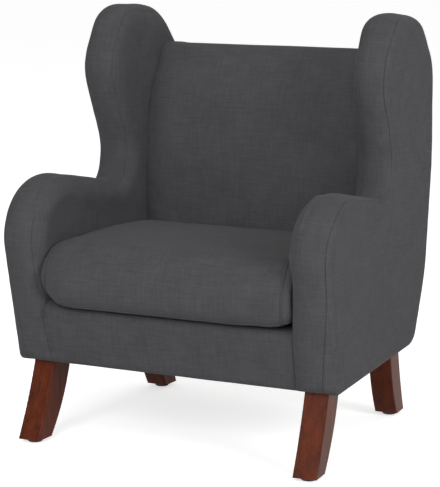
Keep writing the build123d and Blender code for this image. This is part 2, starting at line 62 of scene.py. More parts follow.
# The chair faces -Y and stands on the floor at z = 0. Metres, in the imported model's own frame.
BOTTOM = 0.1285                # foot of the upholstery, at the top of the legs
TOP = 0.687                    # highest point of the wings
FRONT = -0.257                 # foremost point of the arms
DEPTH = 0.514                  # from there to the outside back
NOSE = -0.249                  # the side units turn in about this line
HALF = 0.278                   # outer seam plane at the nose
TOE = math.radians(2.6)        # how far they turn in towards the rear
STRIP = 0.051                  # width of the padded edge strip
DECK = 0.2258                  # seat deck under the cushion
BACK_TOP = 0.622               # top of the padded inside back
BACK_FACE = 0.075              # front face of the padded inside back
SIDE_POINTS = (                # depth share, height share, corner radius share
    (0.092, 0.000, 0.022), (0.009, 0.376, 0.126), (0.072, 0.542, 0.152), (0.550, 0.459, 0.050),
    (0.600, 0.556, 0.160), (0.489, 0.822, 0.135), (0.592, 0.991, 0.081),
    (0.834, 0.964, 0.126), (0.966, 0.833, 0.126), (1.004, 0.556, 0.540), (0.944, 0.196, 0.270),
    (0.832, 0.000, 0.062),
)
OUTLINE_STEP = 0.0035          # distance between the places worked out along that outline
LEAST_RADIUS = 0.002           # least rounding of a corner
EASE = 0.010                   # how far the padding eases the corners of that outline
EDGE_SIDES = 8                 # sides of that outline under the edge strip, from the front
REAR_SIDE = 10                 # its last side down the outside back
FOOT_SIDE = len(SIDE_POINTS) - 1    # its side under the foot
FOOT_TURN = 0.02               # height over which it turns under the foot

SEAM_WIDE = 0.0009             # half the width of the notch that a seam pulls in
HELD = {1: 0.8, -1: 0.15}      # share of a seam's depth at each end of the front panel, by hand
# Depth and drop of a turned hem
HEM = ((0.0, 0.0), (0.0015, -0.0007), (0.005, -0.0008), (0.017, -0.0003))
# Rows of a panel's net, in from its edge, and of a strip's net, as shares of the width between its seams
RINGS = (0.0012, 0.003, 0.006, 0.010, 0.015, 0.021, 0.028)
STRIP_PLACES = (0.04, 0.1, 0.18, 0.27, 0.36, 0.45, 0.54, 0.63, 0.72, 0.8, 0.87, 0.93, 0.97, 1.0)

CUSHION_LOW = DECK + 0.0005    # underside of the cushion
ARM_PADDING = 0.0130           # room that the arm's padding takes beside the cushion
CUSHION_GAP = 0.0012           # running gap between that padding and the cushion
INNER_FALL = 0.0028            # how far the inner seam drops on the wings
SEAM_ROWS = {1: -11, -1: 8}    # row of the cushion's form that each end seam follows, by hand
NOSE_ROWS = slice(8, -8)       # rows of that form that the seam under the nose runs across

# Patterns that repeat so many times in a metre
CLOTH_CLOUDS = 24.0            # drifts of shade in the cloth, 42 mm each
MOULD_GRAIN = 1800.0           # grains of the nylon's mould, 0.56 mm each
BRUSH_MARKS = 700.0            # brush marks in the zinc, 1.4 mm each

WHITE = (1, 1, 1, 1)
FLOOR_GLOW = 0.62              # what the floor adds to its own light to show white as a background
WORLD_LIGHT = 0.42             # strength of the white world's light on the chair
AIM = (-0.0043, -0.0285, 0.31)    # where the camera looks


# Settings that a user would change
class ChairSizes(bpy.types.PropertyGroup):
    edge_crown: FloatProperty(
        name="Edge crown", description="Rise of the padded edge strip between its seams",
        default=0.009, unit="LENGTH")
    inner_swell: FloatProperty(
        name="Arm padding", description="Swell of the padding inside each arm",
        default=0.013, unit="LENGTH")
    wing_swell: FloatProperty(
        name="Wing padding", description="Swell of the padding inside each wing",
        default=0.009, unit="LENGTH")
    arm_roll: FloatProperty(
        name="Arm roll", description="Fuller roll of padding just inside the edge of each arm",
        default=0.004, unit="LENGTH")
    outer_swell: FloatProperty(
        name="Outside wadding", description="Swell of the wadding on the outside of each side",
        default=0.0044, unit="LENGTH")
    wing_flare: FloatProperty(
        name="Wing flare", description="How far the top of each wing leans outwards",
        default=0.004, unit="LENGTH")
    back_crown: FloatProperty(
        name="Back crown", description="How far the back's padding is drawn in at its ends",
        default=0.011, unit="LENGTH")
    seam_depth: FloatProperty(
        name="Seam depth", description="How far each sewn seam sinks between its two panels",
        default=0.0019, unit="LENGTH")
    welt: FloatProperty(
        name="Cushion seam",
        description="Half the thickness of the felled seam round the cushion's ends",
        default=0.0013, unit="LENGTH")


class ChairColours(bpy.types.PropertyGroup):
    cloth: StringProperty(
        name="Cloth", description="Charcoal of the upholstery cloth, sRGB hex", default="#414143")
    lining: StringProperty(
        name="Lining", description="Black of the dust cover under the seat, sRGB hex", default="#1B1B1D")
    stain: StringProperty(
        name="Leg stain", description="Mahogany stain of the legs, sRGB hex", default="#5F270D")
    stain_dark: StringProperty(
        name="Leg grain", description="Dark grain lines under the legs' lacquer, sRGB hex",
        default="#321309")
    glide: StringProperty(
        name="Glides", description="Black of the nylon glides, sRGB hex", default="#161515")
    floor: StringProperty(
        name="Floor", description="Pale studio floor, sRGB hex", default="#EDEDED")


def sizes():
    """The chair's sizes that a user may change."""
    return bpy.context.scene.chair_sizes


def colours():
    """The chair's colours that a user may change."""
    return bpy.context.scene.chair_colours


# Materials
def linear(text):
    """An sRGB hex value as a linear colour."""
    parts = [int(text[i:i + 2], 16) / 255 for i in (1, 3, 5)]
    return tuple(c / 12.92 if c <= 0.04045 else ((c + 0.055) / 1.055) ** 2.4 for c in parts) + (1.0,)


def add_node(tree, kind, settings=None, links=None):
    """Adds a node with its settings and the sockets that feed it."""
    made = tree.nodes.new(kind)
    for key, value in (settings or {}).items():
        if isinstance(key, int) or key in made.inputs:
            made.inputs[key].default_value = value
        else:
            setattr(made, key, value)
    for key, socket in (links or {}).items():
        tree.links.new(socket, made.inputs[key])
    return made


def new_material(name, settings):
    """A material with one Principled shader, and its tree."""
    made = bpy.data.materials.new(name)
    made.use_nodes = True
    tree = made.node_tree
    tree.nodes.clear()
    shader = add_node(tree, "ShaderNodeBsdfPrincipled", settings)
    add_node(tree, "ShaderNodeOutputMaterial", None, {"Surface": shader.outputs[0]})
    return made, tree, shader


def ramp(tree, factor, low, high, dark, light):
    """A factor turned to a colour between two hex values."""
    share = add_node(tree, "ShaderNodeMapRange", {"From Min": low, "From Max": high}, {"Value": factor})
    made = add_node(tree, "ShaderNodeMix", {"data_type": "RGBA", 6: linear(dark), 7: linear(light)}, {
        0: share.outputs[0]})
    return made.outputs[2]


def yarn_streaks(tree, place, thread, along):
    """Uneven yarn: short streaks along one way of the weave."""
    squeeze = (0.10, 1.0, 1.0) if along == "X" else (1.0, 0.10, 1.0)
    lay = add_node(tree, "ShaderNodeMapping", {"Scale": squeeze}, {"Vector": place})
    return add_node(tree, "ShaderNodeTexNoise", {
        "Scale": 0.45 / thread, "Detail": 2.0, "Roughness": 0.65}, {
            "Vector": lay.outputs[0]}).outputs["Fac"]


def woven(name, thread, dark, light, roughness, sheen, height):
    """Plain-woven cloth: warp over weft, with a painted highlight on the crowns of the threads and
    painted shade between them.
    """
    made, tree, shader = new_material(name, {
        "Roughness": roughness, "Sheen Weight": sheen, "Sheen Roughness": 0.45,
        "Specular IOR Level": 0.10, "IOR": 1.5})
    place = add_node(tree, "ShaderNodeTexCoord").outputs["UV"]
    each = 1 / thread
    pair = {"wave_type": "BANDS", "wave_profile": "SIN", "Scale": each / 20 * math.pi,
            "Distortion": 0.25, "Detail": 1.0, "Detail Scale": 0.6}
    warp = add_node(tree, "ShaderNodeTexWave", {**pair, "bands_direction": "X"}, {"Vector": place})
    weft = add_node(tree, "ShaderNodeTexWave", {**pair, "bands_direction": "Y"}, {"Vector": place})
    over = add_node(tree, "ShaderNodeTexChecker", {"Scale": each}, {"Vector": place})
    weave = add_node(tree, "ShaderNodeMix", {"data_type": "FLOAT"}, {
        0: over.outputs["Fac"], 2: warp.outputs["Fac"], 3: weft.outputs["Fac"]})
    streaks = add_node(tree, "ShaderNodeMath", {"operation": "ADD"}, {
        0: yarn_streaks(tree, place, thread, "X"), 1: yarn_streaks(tree, place, thread, "Y")})
    object_place = add_node(tree, "ShaderNodeTexCoord").outputs["Object"]
    cloud = add_node(tree, "ShaderNodeTexNoise", {
        "Scale": CLOTH_CLOUDS, "Detail": 6.0, "Roughness": 0.7}, {"Vector": object_place})
    spread = add_node(tree, "ShaderNodeMath", {"operation": "MULTIPLY_ADD", 1: 1.1}, {
        0: cloud.outputs["Fac"], 2: streaks.outputs[0]})
    # The weave's share of this colour is painted light: a painted highlight on the thread crowns and
    # painted shade between the threads. The clouds and streaks are uneven tone of the yarn.
    shade = add_node(tree, "ShaderNodeMath", {"operation": "MULTIPLY_ADD", 1: 0.3}, {
        0: weave.outputs[0], 2: spread.outputs[0]})
    tree.links.new(ramp(tree, shade.outputs[0], 1.2, 2.2, dark, light), shader.inputs["Base Color"])
    bump = add_node(tree, "ShaderNodeBump", {"Strength": 0.6, "Distance": height}, {
        "Height": weave.outputs[0]})
    soft = add_node(tree, "ShaderNodeBump", {"Strength": 0.6, "Distance": 2.5 * height}, {
        "Height": streaks.outputs[0], "Normal": bump.outputs[0]})
    tree.links.new(soft.outputs[0], shader.inputs["Normal"])
    return made


def charcoal_cloth():
    """Plain-woven polyester upholstery: matt, with a short nap that lightens where it turns away."""
    # Threads are about 0.6 mm apart; drawn at 1.8 mm, so that the weave shows in the render.
    base = colours().cloth
    return woven("Woven polyester upholstery", thread=0.0018, dark=shift(base, -0.11),
                 light=shift(base, 0.11), roughness=0.95, sheen=0.03, height=0.0003)


def lining_cloth():
    """Spun-bonded polypropylene: thin black felt pressed with a fine dimple pattern."""
    # Dimples are under 1 mm apart; drawn at 1.6 mm, so that they show in the render.
    base = colours().lining
    return woven("Spun-bonded lining", thread=0.0016, dark=shift(base, -0.25),
                 light=shift(base, 0.25), roughness=0.85, sheen=0.05, height=0.0001)


def webbing_cloth():
    """Woven elastic webbing: coarse ribs, dark brown and matt."""
    return woven("Woven elastic webbing", thread=0.0024, dark="#1C1714", light="#3A302A",
                 roughness=0.9, sheen=0.05, height=0.0004)


def shift(text, share):
    """A hex colour made lighter or darker by a share."""
    parts = [int(text[i:i + 2], 16) for i in (1, 3, 5)]
    return "#" + "".join("%02X" % max(0, min(255, round(c * (1 + share)))) for c in parts)


def grained(name, dark, light, ring, settings, bump_height, along="Z"):
    """Wood: long soft grain along one axis, in bands a ring wide, with fine pores."""
    made, tree, shader = new_material(name, settings)
    place = add_node(tree, "ShaderNodeTexCoord").outputs["Object"]
    squeeze = {"X": (0.06, 1, 1), "Y": (1, 0.06, 1), "Z": (1, 1, 0.06)}[along]
    lay = add_node(tree, "ShaderNodeMapping", {"Scale": squeeze}, {"Vector": place})
    grain = add_node(tree, "ShaderNodeTexNoise", {
        "Scale": 1 / ring, "Detail": 5.0, "Roughness": 0.6, "Distortion": 0.35}, {
            "Vector": lay.outputs[0]})
    pores = add_node(tree, "ShaderNodeTexNoise", {"Scale": 5 / ring, "Detail": 2.0}, {
        "Vector": lay.outputs[0]})
    both = add_node(tree, "ShaderNodeMath", {"operation": "MULTIPLY_ADD", 1: 0.35}, {
        0: pores.outputs["Fac"], 2: grain.outputs["Fac"]})
    tree.links.new(ramp(tree, both.outputs[0], 0.42, 0.95, dark, light), shader.inputs["Base Color"])
    bump = add_node(tree, "ShaderNodeBump", {"Strength": 0.3, "Distance": bump_height}, {
        "Height": both.outputs[0]})
    tree.links.new(bump.outputs[0], shader.inputs["Normal"])
    return made


def lacquered_beech():
    """Beech stained mahogany under a thin sprayed lacquer: deep red-brown with a soft, faint gloss."""
    return grained("Stained beech under lacquer", dark=colours().stain_dark, light=colours().stain,
                   ring=0.011, bump_height=0.00012, settings={
                       "Roughness": 0.45, "IOR": 1.5, "Specular IOR Level": 0.08,
                       "Coat Weight": 0.05, "Coat Roughness": 0.1, "Coat IOR": 1.5})


def sanded_plywood():
    """Birch plywood, sanded and bare: pale, with long faint grain."""
    return grained("Sanded birch plywood", dark="#A98755", light="#D3B37E", ring=0.016,
                   bump_height=0.0002, settings={"Roughness": 0.7, "IOR": 1.5})


def planed_pine():
    """Pine rails, planed and bare: yellow, with wider rings."""
    return grained("Planed pine", dark="#B98F55", light="#E2C28C", ring=0.022,
                   bump_height=0.0002, settings={"Roughness": 0.65, "IOR": 1.5}, along="X")


def moulded_nylon():
    """Black nylon with the fine even grain of its mould."""
    made, tree, shader = new_material("Moulded nylon", {
        "Base Color": linear(colours().glide), "Roughness": 0.5, "IOR": 1.53})
    place = add_node(tree, "ShaderNodeTexCoord").outputs["Object"]
    grit = add_node(tree, "ShaderNodeTexNoise", {"Scale": MOULD_GRAIN, "Detail": 2.0}, {"Vector": place})
    bump = add_node(tree, "ShaderNodeBump", {"Strength": 0.3, "Distance": 0.0001}, {
        "Height": grit.outputs["Fac"]})
    tree.links.new(bump.outputs[0], shader.inputs["Normal"])
    return made


def zinc_steel():
    """Zinc-plated steel: grey, half bright, with a faint brushed break-up."""
    made, tree, shader = new_material("Zinc-plated steel", {
        "Base Color": linear("#B4B6BA"), "Metallic": 1.0})
    place = add_node(tree, "ShaderNodeTexCoord").outputs["Object"]
    grit = add_node(tree, "ShaderNodeTexNoise", {"Scale": BRUSH_MARKS, "Detail": 3.0}, {"Vector": place})
    rough = add_node(tree, "ShaderNodeMapRange", {"To Min": 0.28, "To Max": 0.48}, {
        0: grit.outputs["Fac"]})
    tree.links.new(rough.outputs[0], shader.inputs["Roughness"])
    return made


def zip_tape():
    """Knitted polyester tape with black nylon teeth."""
    # Stitches are about 0.5 mm apart; drawn at 1.2 mm, so that they show in the render.
    return woven("Zip tape", thread=0.0012, dark="#2A2A2C", light="#3C3C3F",
                 roughness=0.85, sheen=0.05, height=0.0002)


MATERIALS = {}


def finish_of(maker):
    """The material that a function makes, made once."""
    if maker.__name__ not in MATERIALS:
        MATERIALS[maker.__name__] = maker()
    return MATERIALS[maker.__name__]


# Outline of the side units
def smooth(low, high, value):
    """A soft step from 0 at low to 1 at high, which may be the smaller of the two."""
    t = np.clip((value - low) / (high - low), 0.0, 1.0)
    return t * t * (3 - 2 * t)


def rounded_loop(points, step):
    """Closed clockwise polygon of (a, b, radius) with its corners rounded.
    Returns the places, their outward directions and the side that each lies on."""
    count = len(points)
    lines = []
    for i in range(count):
        (a, b, _), (c, d, _) = points[i], points[(i + 1) % count]
        run = math.hypot(c - a, d - b)
        lines.append((a, b, (c - a) / run, (d - b) / run))
    corners = []
    for i in range(count):
        p, q, u, v = lines[i - 1]
        r, s, w, x = lines[i]
        turn = u * x - v * w
        far = ((r - p) * x - (s - q) * w) / turn
        radius = max(points[i][2], LEAST_RADIUS)
        angle = math.asin(max(-1, min(1, turn)))
        corners.append((p + u * far, q + v * far, radius, angle, radius * abs(math.tan(angle / 2))))
    places, out, side = [], [], []
    for i in range(count):
        cx, cy, radius, angle, back = corners[i]
        _, _, u, v = lines[i - 1]
        _, _, w, x = lines[i]
        sign = 1 if angle > 0 else -1
        mx, my = cx - u * back - v * radius * sign, cy - v * back + u * radius * sign
        steps = max(2, round(abs(angle) * radius / step))
        for k in range(steps):
            t = k / steps * angle
            du, dv = u * math.cos(t) - v * math.sin(t), u * math.sin(t) + v * math.cos(t)
            places.append((mx + dv * radius * sign, my - du * radius * sign))
            out.append((-dv, du))
            side.append((i - 1) % count if k < steps / 2 else i)
        nx, ny, _, _, ahead = corners[(i + 1) % count]
        sx, sy = cx + w * back, cy + x * back
        run = math.hypot(nx - w * ahead - sx, ny - x * ahead - sy)
        steps = max(1, round(run / step))
        for k in range(steps):
            places.append((sx + w * run * k / steps, sy + x * run * k / steps))
            out.append((-x, w))
            side.append(i)
    return np.array(places), np.array(out), np.array(side)


def side_points():
    """Corners of the side units' outline in metres, each with its radius."""
    height = TOP - BOTTOM
    return [(FRONT + a * DEPTH, BOTTOM + b * height, c * height) for a, b, c in SIDE_POINTS]


def eased(loop, out, keep_below):
    """The outline with its corners eased as padding eases them, and the directions that it faces."""
    spread = range(-9, 10)
    weights = np.exp(-(np.array(spread) * OUTLINE_STEP / EASE) ** 2)
    weights = weights / weights.sum()
    soft = sum(w * np.roll(loop, -k, 0) for k, w in zip(spread, weights))
    blend = smooth(keep_below, keep_below + 0.035, loop[:, 1])[:, None]
    moved = loop + (soft - loop) * blend
    run = np.roll(moved, -1, 0) - np.roll(moved, 1, 0)
    run /= np.maximum(np.hypot(run[:, 0], run[:, 1]), 1e-9)[:, None]
    facing = np.stack([-run[:, 1], run[:, 0]], 1)
    facing = out + (facing - out) * blend
    return moved, facing / np.hypot(facing[:, 0], facing[:, 1])[:, None]


LOOP, LOOP_OUT, LOOP_SIDE = rounded_loop(side_points(), OUTLINE_STEP)
LOOP, LOOP_OUT = eased(LOOP, LOOP_OUT, BOTTOM + FOOT_TURN)


def edge_places():
    """Indices of the outline's places under the edge strip. It starts a little way under the foot,
    so the first ones are negative and count back from the outline's end."""
    picked = [i for i in range(len(LOOP)) if LOOP_SIDE[i] < EDGE_SIDES]
    while LOOP_SIDE[picked[0] - 1] == FOOT_SIDE:
        first, before = LOOP[picked[0]], LOOP[picked[0] - 1]
        if before[0] >= first[0] + 0.012 or before[1] >= BOTTOM + FOOT_TURN:
            break
        picked.insert(0, picked[0] - 1)
    return picked + [picked[-1] + 1]


EDGE = edge_places()


def wing_lean(z):
    """How far a side leans outwards at a height: not at all at the arm, most at the top of the wing."""
    return sizes().wing_flare * smooth(0.42, 0.64, z)


def placed(hand, depth, y, z):
    """From a side unit's own places to the chair's. hand is 1 on the sitter's left, -1 on the right."""
    depth, y, z = np.broadcast_arrays(*(np.asarray(part, float) for part in (depth, y, z)))
    x, d = -depth, y - NOSE
    lean = wing_lean(z) * (1 - 0.5 * np.clip(depth / STRIP, 0, 1))
    across = HALF + x * math.cos(TOE) - d * math.sin(TOE) + lean
    return np.stack([hand * across, NOSE + x * math.sin(TOE) + d * math.cos(TOE), z], -1)


def seam_x(y, depth):
    """Distance from the chair's middle of a line that lies so deep in from a side unit's outer seam."""
    return HALF - math.tan(TOE) * (y - NOSE) - depth / math.cos(TOE)


def outer_drift(y, z):
    """How far the outer seam lies on to the edge strip: it turns in at the foot of the arm's front."""
    front = 1 - smooth(-0.20, -0.14, y)
    on_top = smooth(0.36, 0.41, z) * (1 - smooth(0.50, 0.56, z))
    near_peak = smooth(0.61, 0.67, z)
    low = 0.005 - 0.0038 * np.maximum(on_top, near_peak)
    return low + 0.015 * front * (1 - smooth(0.11, 0.31, z))


def inner_drift(hand, y, z):
    """How far the inner seam of the arm's front lies beyond the strip's width, most at the foot."""
    front = 1 - smooth(-0.20, -0.13, y)
    if hand > 0:
        return front * (0.0140 - 0.0080 * smooth(0.20, 0.33, z) - 0.0060 * smooth(0.33, 0.40, z))
    corner = 0.0115 * np.exp(-((z - DECK - 0.002) / 0.024) ** 2)
    return front * np.maximum(0.009 * (1 - smooth(0.12, 0.25, z)), corner)


def inner_lift(y, z):
    """How far the inner seam rides up on the crown along the top of the arm."""
    return 0.0055 * smooth(0.36, 0.39, z) * (1 - smooth(-0.06, 0.0, y)) * (1 - smooth(0.43, 0.46, z))


def inner_fall(hand, y, z):
    """How far the inner seam drops: down each wing's rear, and round the left wing's peak."""
    fall = INNER_FALL * smooth(0.155, 0.205, y) * upper_wing(z)
    return np.maximum(fall, INNER_FALL * wing_peak(z)) if hand > 0 else fall


def wing_peak(z):
    """0 up to the wings' upper part, 1 at their peak."""
    return smooth(0.60, 0.65, z)


def upper_wing(z):
    """0 up to the wings' middle, 1 from their upper part on."""
    return smooth(0.56, 0.62, z)


def strip_rise(across):
    """Crown of the edge strip across its width, as a share."""
    return 1 - np.abs(2 * np.clip(across, 0, 1) - 1) ** 2.6


def peak_share(hand, y, z):
    """The crown over a wing's top: on the right wing fuller at its peak and flatter down its rear."""
    peak = wing_peak(z) * (1 - smooth(0.15, 0.18, y))
    rear = smooth(0.165, 0.20, y) * upper_wing(z)
    late = smooth(0.08, 0.13, y)
    return 1 - 0.15 * peak + 0.15 * late if hand > 0 else 1 + (0.1 + 0.35 * late) * peak - 0.8 * rear


def foot_share(y, z):
    """The crown fades where the strip turns under the foot, and where it meets the outside back."""
    at_foot = smooth(BOTTOM - 0.001, BOTTOM + 0.014, z)
    return at_foot * (1 - 0.9 * smooth(0.205, 0.238, y) * smooth(0.5, 0.58, z))


# Mesh tools
def linked(name, data):
    """A new object with its data, put in the scene."""
    made = bpy.data.objects.new(name, data)
    bpy.context.scene.collection.objects.link(made)
    return made


def new_object(name, points, faces, maker, outward=None):
    """A smooth mesh object with its weave laid on, and its faces turned along an outward direction."""
    mesh = bpy.data.meshes.new(name)
    mesh.from_pydata([tuple(p) for p in points], [], faces)
    mesh.validate()
    made = linked(name, mesh)
    mesh.materials.append(finish_of(maker))
    mesh.polygons.foreach_set("use_smooth", [True] * len(mesh.polygons))
    lay_weave(made)
    if outward:
        face_out(made, Vector(outward))
    return made


def face_out(made, direction):
    """Turns the faces so that most look along a direction."""
    mesh = made.data
    total = Vector()
    for face in mesh.polygons:
        total += face.normal * face.area
    if total.dot(direction) < 0:
        mesh.flip_normals()


def lay_weave(made):
    """Texture places in metres, laid flat on each face by its main direction."""
    mesh = made.data
    layer = mesh.uv_layers.get("weave") or mesh.uv_layers.new(name="weave")
    count = len(mesh.loops)
    corner = np.zeros(count, np.int64)
    mesh.loops.foreach_get("vertex_index", corner)
    places = np.zeros(len(mesh.vertices) * 3)
    mesh.vertices.foreach_get("co", places)
    places = places.reshape(-1, 3)[corner]
    normals = np.zeros(len(mesh.polygons) * 3)
    mesh.polygons.foreach_get("normal", normals)
    sizes_of = np.zeros(len(mesh.polygons), np.int64)
    mesh.polygons.foreach_get("loop_total", sizes_of)
    main = np.repeat(np.abs(normals.reshape(-1, 3)).argmax(1), sizes_of)
    flat = np.where((main == 0)[:, None], places[:, [1, 2]],
                    np.where((main == 1)[:, None], places[:, [0, 2]], places[:, [0, 1]]))
    layer.data.foreach_set("uv", flat.astype(np.float32).ravel())


def grid_faces(rows, columns, closed=False):
    """Faces of a grid of points, row by row."""
    faces = []
    for i in range(rows - 1):
        for j in range(columns if closed else columns - 1):
            k = (j + 1) % columns
            row, above = i * columns, (i + 1) * columns
            faces.append((row + j, row + k, above + k, above + j))
    return faces


def thicken(made, amount):
    """Gives cloth its thickness, towards the inside."""
    bpy.context.view_layer.update()
    tool = made.modifiers.new("cloth thickness", "SOLIDIFY")
    tool.thickness = amount
    tool.offset = -1.0
    return made


def near_loop(points, loop):
    """Distance of each point from a closed line and the index of the nearest place on it."""
    tree = kdtree.KDTree(len(loop))
    for i, p in enumerate(loop):
        tree.insert((p[0], p[1], 0.0), i)
    tree.balance()
    found = [tree.find((p[0], p[1], 0.0)) for p in points]
    index = np.array([f[1] for f in found])
    far = np.empty(len(points))
    count = len(loop)
    for i, p in enumerate(points):
        best = found[i][2]
        for step in (-1, 0):
            a = loop[(index[i] + step) % count]
            b = loop[(index[i] + step + 1) % count]
            run = b - a
            t = np.clip(np.dot(p - a, run) / max(np.dot(run, run), 1e-12), 0, 1)
            best = min(best, float(np.hypot(*(p - a - t * run))))
        far[i] = best
    return far, index


def inside(points, loop):
    """Which points lie inside a closed line."""
    x, y = points[:, 0][:, None], points[:, 1][:, None]
    a, b = loop, np.roll(loop, -1, 0)
    rise = np.where(b[:, 1] == a[:, 1], 1e-12, b[:, 1] - a[:, 1])
    left_of = x < (b[:, 0] - a[:, 0]) * (y - a[:, 1]) / rise + a[:, 0]
    cross = ((a[:, 1] > y) != (b[:, 1] > y)) & left_of
    return cross.sum(1) % 2 == 1


def panel_net(loop, normal, pitch):
    """Flat triangle net inside a closed line: rows along the line, then an even field."""
    rows = [loop]
    for ring in RINGS:
        row = (loop - normal * ring)[::1 if ring < 0.004 else 2]
        far, _ = near_loop(row, loop)
        rows.append(row[(far > 0.93 * ring) & inside(row, loop)])
    low, high = loop.min(0), loop.max(0)
    xs = np.arange(low[0], high[0], pitch)
    ys = np.arange(low[1], high[1], pitch * 0.866)
    field = np.array([(x + (pitch / 2 if j % 2 else 0), y) for j, y in enumerate(ys) for x in xs])
    field = field[inside(field, loop)]
    far, _ = near_loop(field, loop)
    rows.append(field[far > RINGS[-1] + 0.6 * pitch])
    flat = np.concatenate(rows)
    edges = [(i, (i + 1) % len(loop)) for i in range(len(loop))]
    found = delaunay_2d_cdt([Vector(p) for p in flat], edges, [], 1, 1e-6)
    return np.array([tuple(p) for p in found[0]]), [tuple(f) for f in found[2]]


def swell_share(far, run, power=2.3):
    """How full the padding is at a distance from its seam, full from the end of the run on."""
    return 1 - (1 - np.clip(far / run, 0, 1)) ** power


def uneven(flat, scale, seed):
    """Soft unevenness over a panel, between -1 and 1."""
    return np.array([noise.noise(Vector((p[0] / scale, p[1] / scale, seed))) for p in flat])


# Pieces of the side units
def outer_panel(hand, name):
    """Outside cover of a side unit over its wadding, with its hem turned under the foot."""
    flat, faces = panel_net(LOOP, LOOP_OUT, pitch=0.009)
    far, _ = near_loop(flat, LOOP)
    depth = -sizes().outer_swell * swell_share(far, 0.0095)
    depth -= 0.0007 * uneven(flat, 0.07, 3.1 * hand) * np.clip(far / 0.03, 0, 1)
    depth -= 0.0005 * uneven(flat, 0.014, 9.7) * np.exp(-far / 0.012) * swell_share(far, 0.004)
    points = placed(hand, depth, flat[:, 0], flat[:, 1])
    foot = LOOP[LOOP_SIDE == FOOT_SIDE]
    hem = [placed(hand, d, foot[:, 0], foot[:, 1] + drop) for d, drop in HEM]
    faces += [tuple(len(points) + i for i in face) for face in grid_faces(len(HEM), len(foot))]
    return new_object(name, np.concatenate([points] + hem), faces, charcoal_cloth, (hand, 0, 0))


def edge_strip(hand, name):
    """Padded strip over the front and top edges, with its outer seam sunk in it."""
    s = sizes()
    y, z = LOOP[EDGE, 0], LOOP[EDGE, 1]
    out = LOOP_OUT[EDGE]
    seam = outer_drift(y, z)
    wide = STRIP + inner_drift(hand, y, z)
    lift = inner_lift(y, z)
    before, start = seam - SEAM_WIDE, seam + SEAM_WIDE
    rows = [0 * seam, 0.45 * before, 0.8 * before, before, seam, start]
    valley = smooth(-0.02, 0.01, y) * (1 - smooth(0.43, 0.47, z))
    sunk = [0.0, 0.0, 0.0, 0.0, s.seam_depth * (1 - 0.6 * valley), 0.0]
    rows += [start + (wide - SEAM_WIDE - start) * place for place in STRIP_PLACES] + [wide, wide]
    sunk += [0.0] * len(STRIP_PLACES) + [s.seam_depth, 4 * s.seam_depth]
    grid = []
    for k, (depth, sink) in enumerate(zip(rows, sunk)):
        share = depth / wide
        rise = s.edge_crown * strip_rise(share) * foot_share(y, z) * peak_share(hand, y, z)
        if share[0] > 0.5:
            rise = np.maximum(rise, lift)
            sink = sink * (HELD[hand] + (1 - HELD[hand]) * smooth(DECK - 0.006, DECK + 0.015, z))
            sink = sink * (1 + 0.5 * smooth(0.40, 0.45, z) * (1 - smooth(0.63, 0.66, z)))
        rise = rise - sink - inner_fall(hand, y, z) * share
        wave = uneven(np.stack([y, z], 1), 0.033, 5.3 * hand + 2 * k / len(rows))
        rise = rise + 0.0006 * wave * strip_rise(share)
        grid.append(placed(hand, depth, y + out[:, 0] * rise, z + out[:, 1] * rise))
    faces = grid_faces(len(rows), len(EDGE))
    return new_object(name, np.concatenate(grid), faces, charcoal_cloth, (0, -0.6, 0.8))


def inner_panel(hand, name):
    """Padded inside of an arm and its wing, down to the seat deck."""
    s = sizes()
    keep = LOOP[:, 1] > DECK - 0.018
    first = int(np.argmax(~keep))
    order = [i for i in np.roll(np.arange(len(LOOP)), -first) if keep[i]]
    loop, out = LOOP[order], LOOP_OUT[order]
    rear, front = loop[-1], loop[0]
    steps = int(abs(rear[0] - front[0]) / 0.006)
    base = np.array([rear + (front - rear) * k / steps for k in range(1, steps)])
    closed = np.concatenate([loop, base])
    closed_out = np.concatenate([out, np.tile((0.0, -1.0), (len(base), 1))])
    flat, faces = panel_net(closed, closed_out, pitch=0.008)
    far, index = near_loop(flat, LOOP)
    y, z = LOOP[index, 0], LOOP[index, 1]
    on_wing = smooth(0.41, 0.52, flat[:, 1])
    swell = s.inner_swell + (s.wing_swell - s.inner_swell) * on_wing
    roll = (s.arm_roll + (0.003 if hand > 0 else 0.0)) * (1 - on_wing)
    roll = roll * np.exp(-((far - 0.016) / 0.018) ** 2)
    roll *= (1 - smooth(-0.03, 0.02, flat[:, 0])) * smooth(0.300, 0.345, flat[:, 1])
    rise = swell_share(far, 0.034, 3.2)
    edge = (LOOP_SIDE[index] < EDGE_SIDES).astype(float)
    drift = inner_drift(hand, y, z) * edge
    depth = STRIP + drift + (swell + roll) * rise - drift * rise
    groove = np.exp(-(far / SEAM_WIDE) ** 2)
    depth -= 0.5 * s.seam_depth * groove
    fall = inner_fall(hand, y, z)
    fade = np.clip(1 - far / (0.02 + 2 * fall), 0, 1) ** 2
    lift = (inner_lift(y, z) - fall) * edge * fade - 0.7 * s.seam_depth * groove
    moved = flat + LOOP_OUT[index] * lift[:, None]
    depth += 0.0009 * uneven(flat, 0.08, 8.1 * hand) * np.clip(far / 0.03, 0, 1)
    depth += 0.0006 * uneven(flat, 0.014, 4.4) * np.exp(-far / 0.012) * swell_share(far, 0.004)
    points = placed(hand, depth, moved[:, 0], moved[:, 1])
    return new_object(name, points, faces, charcoal_cloth, (-hand, 0, 0))


# Seat
def line_points(low, high):
    """The part of the front outline between two heights, from the bottom up."""
    picked = [i for i in EDGE if low <= LOOP[i][1] <= high and LOOP[i][0] < -0.15]
    return LOOP[picked]


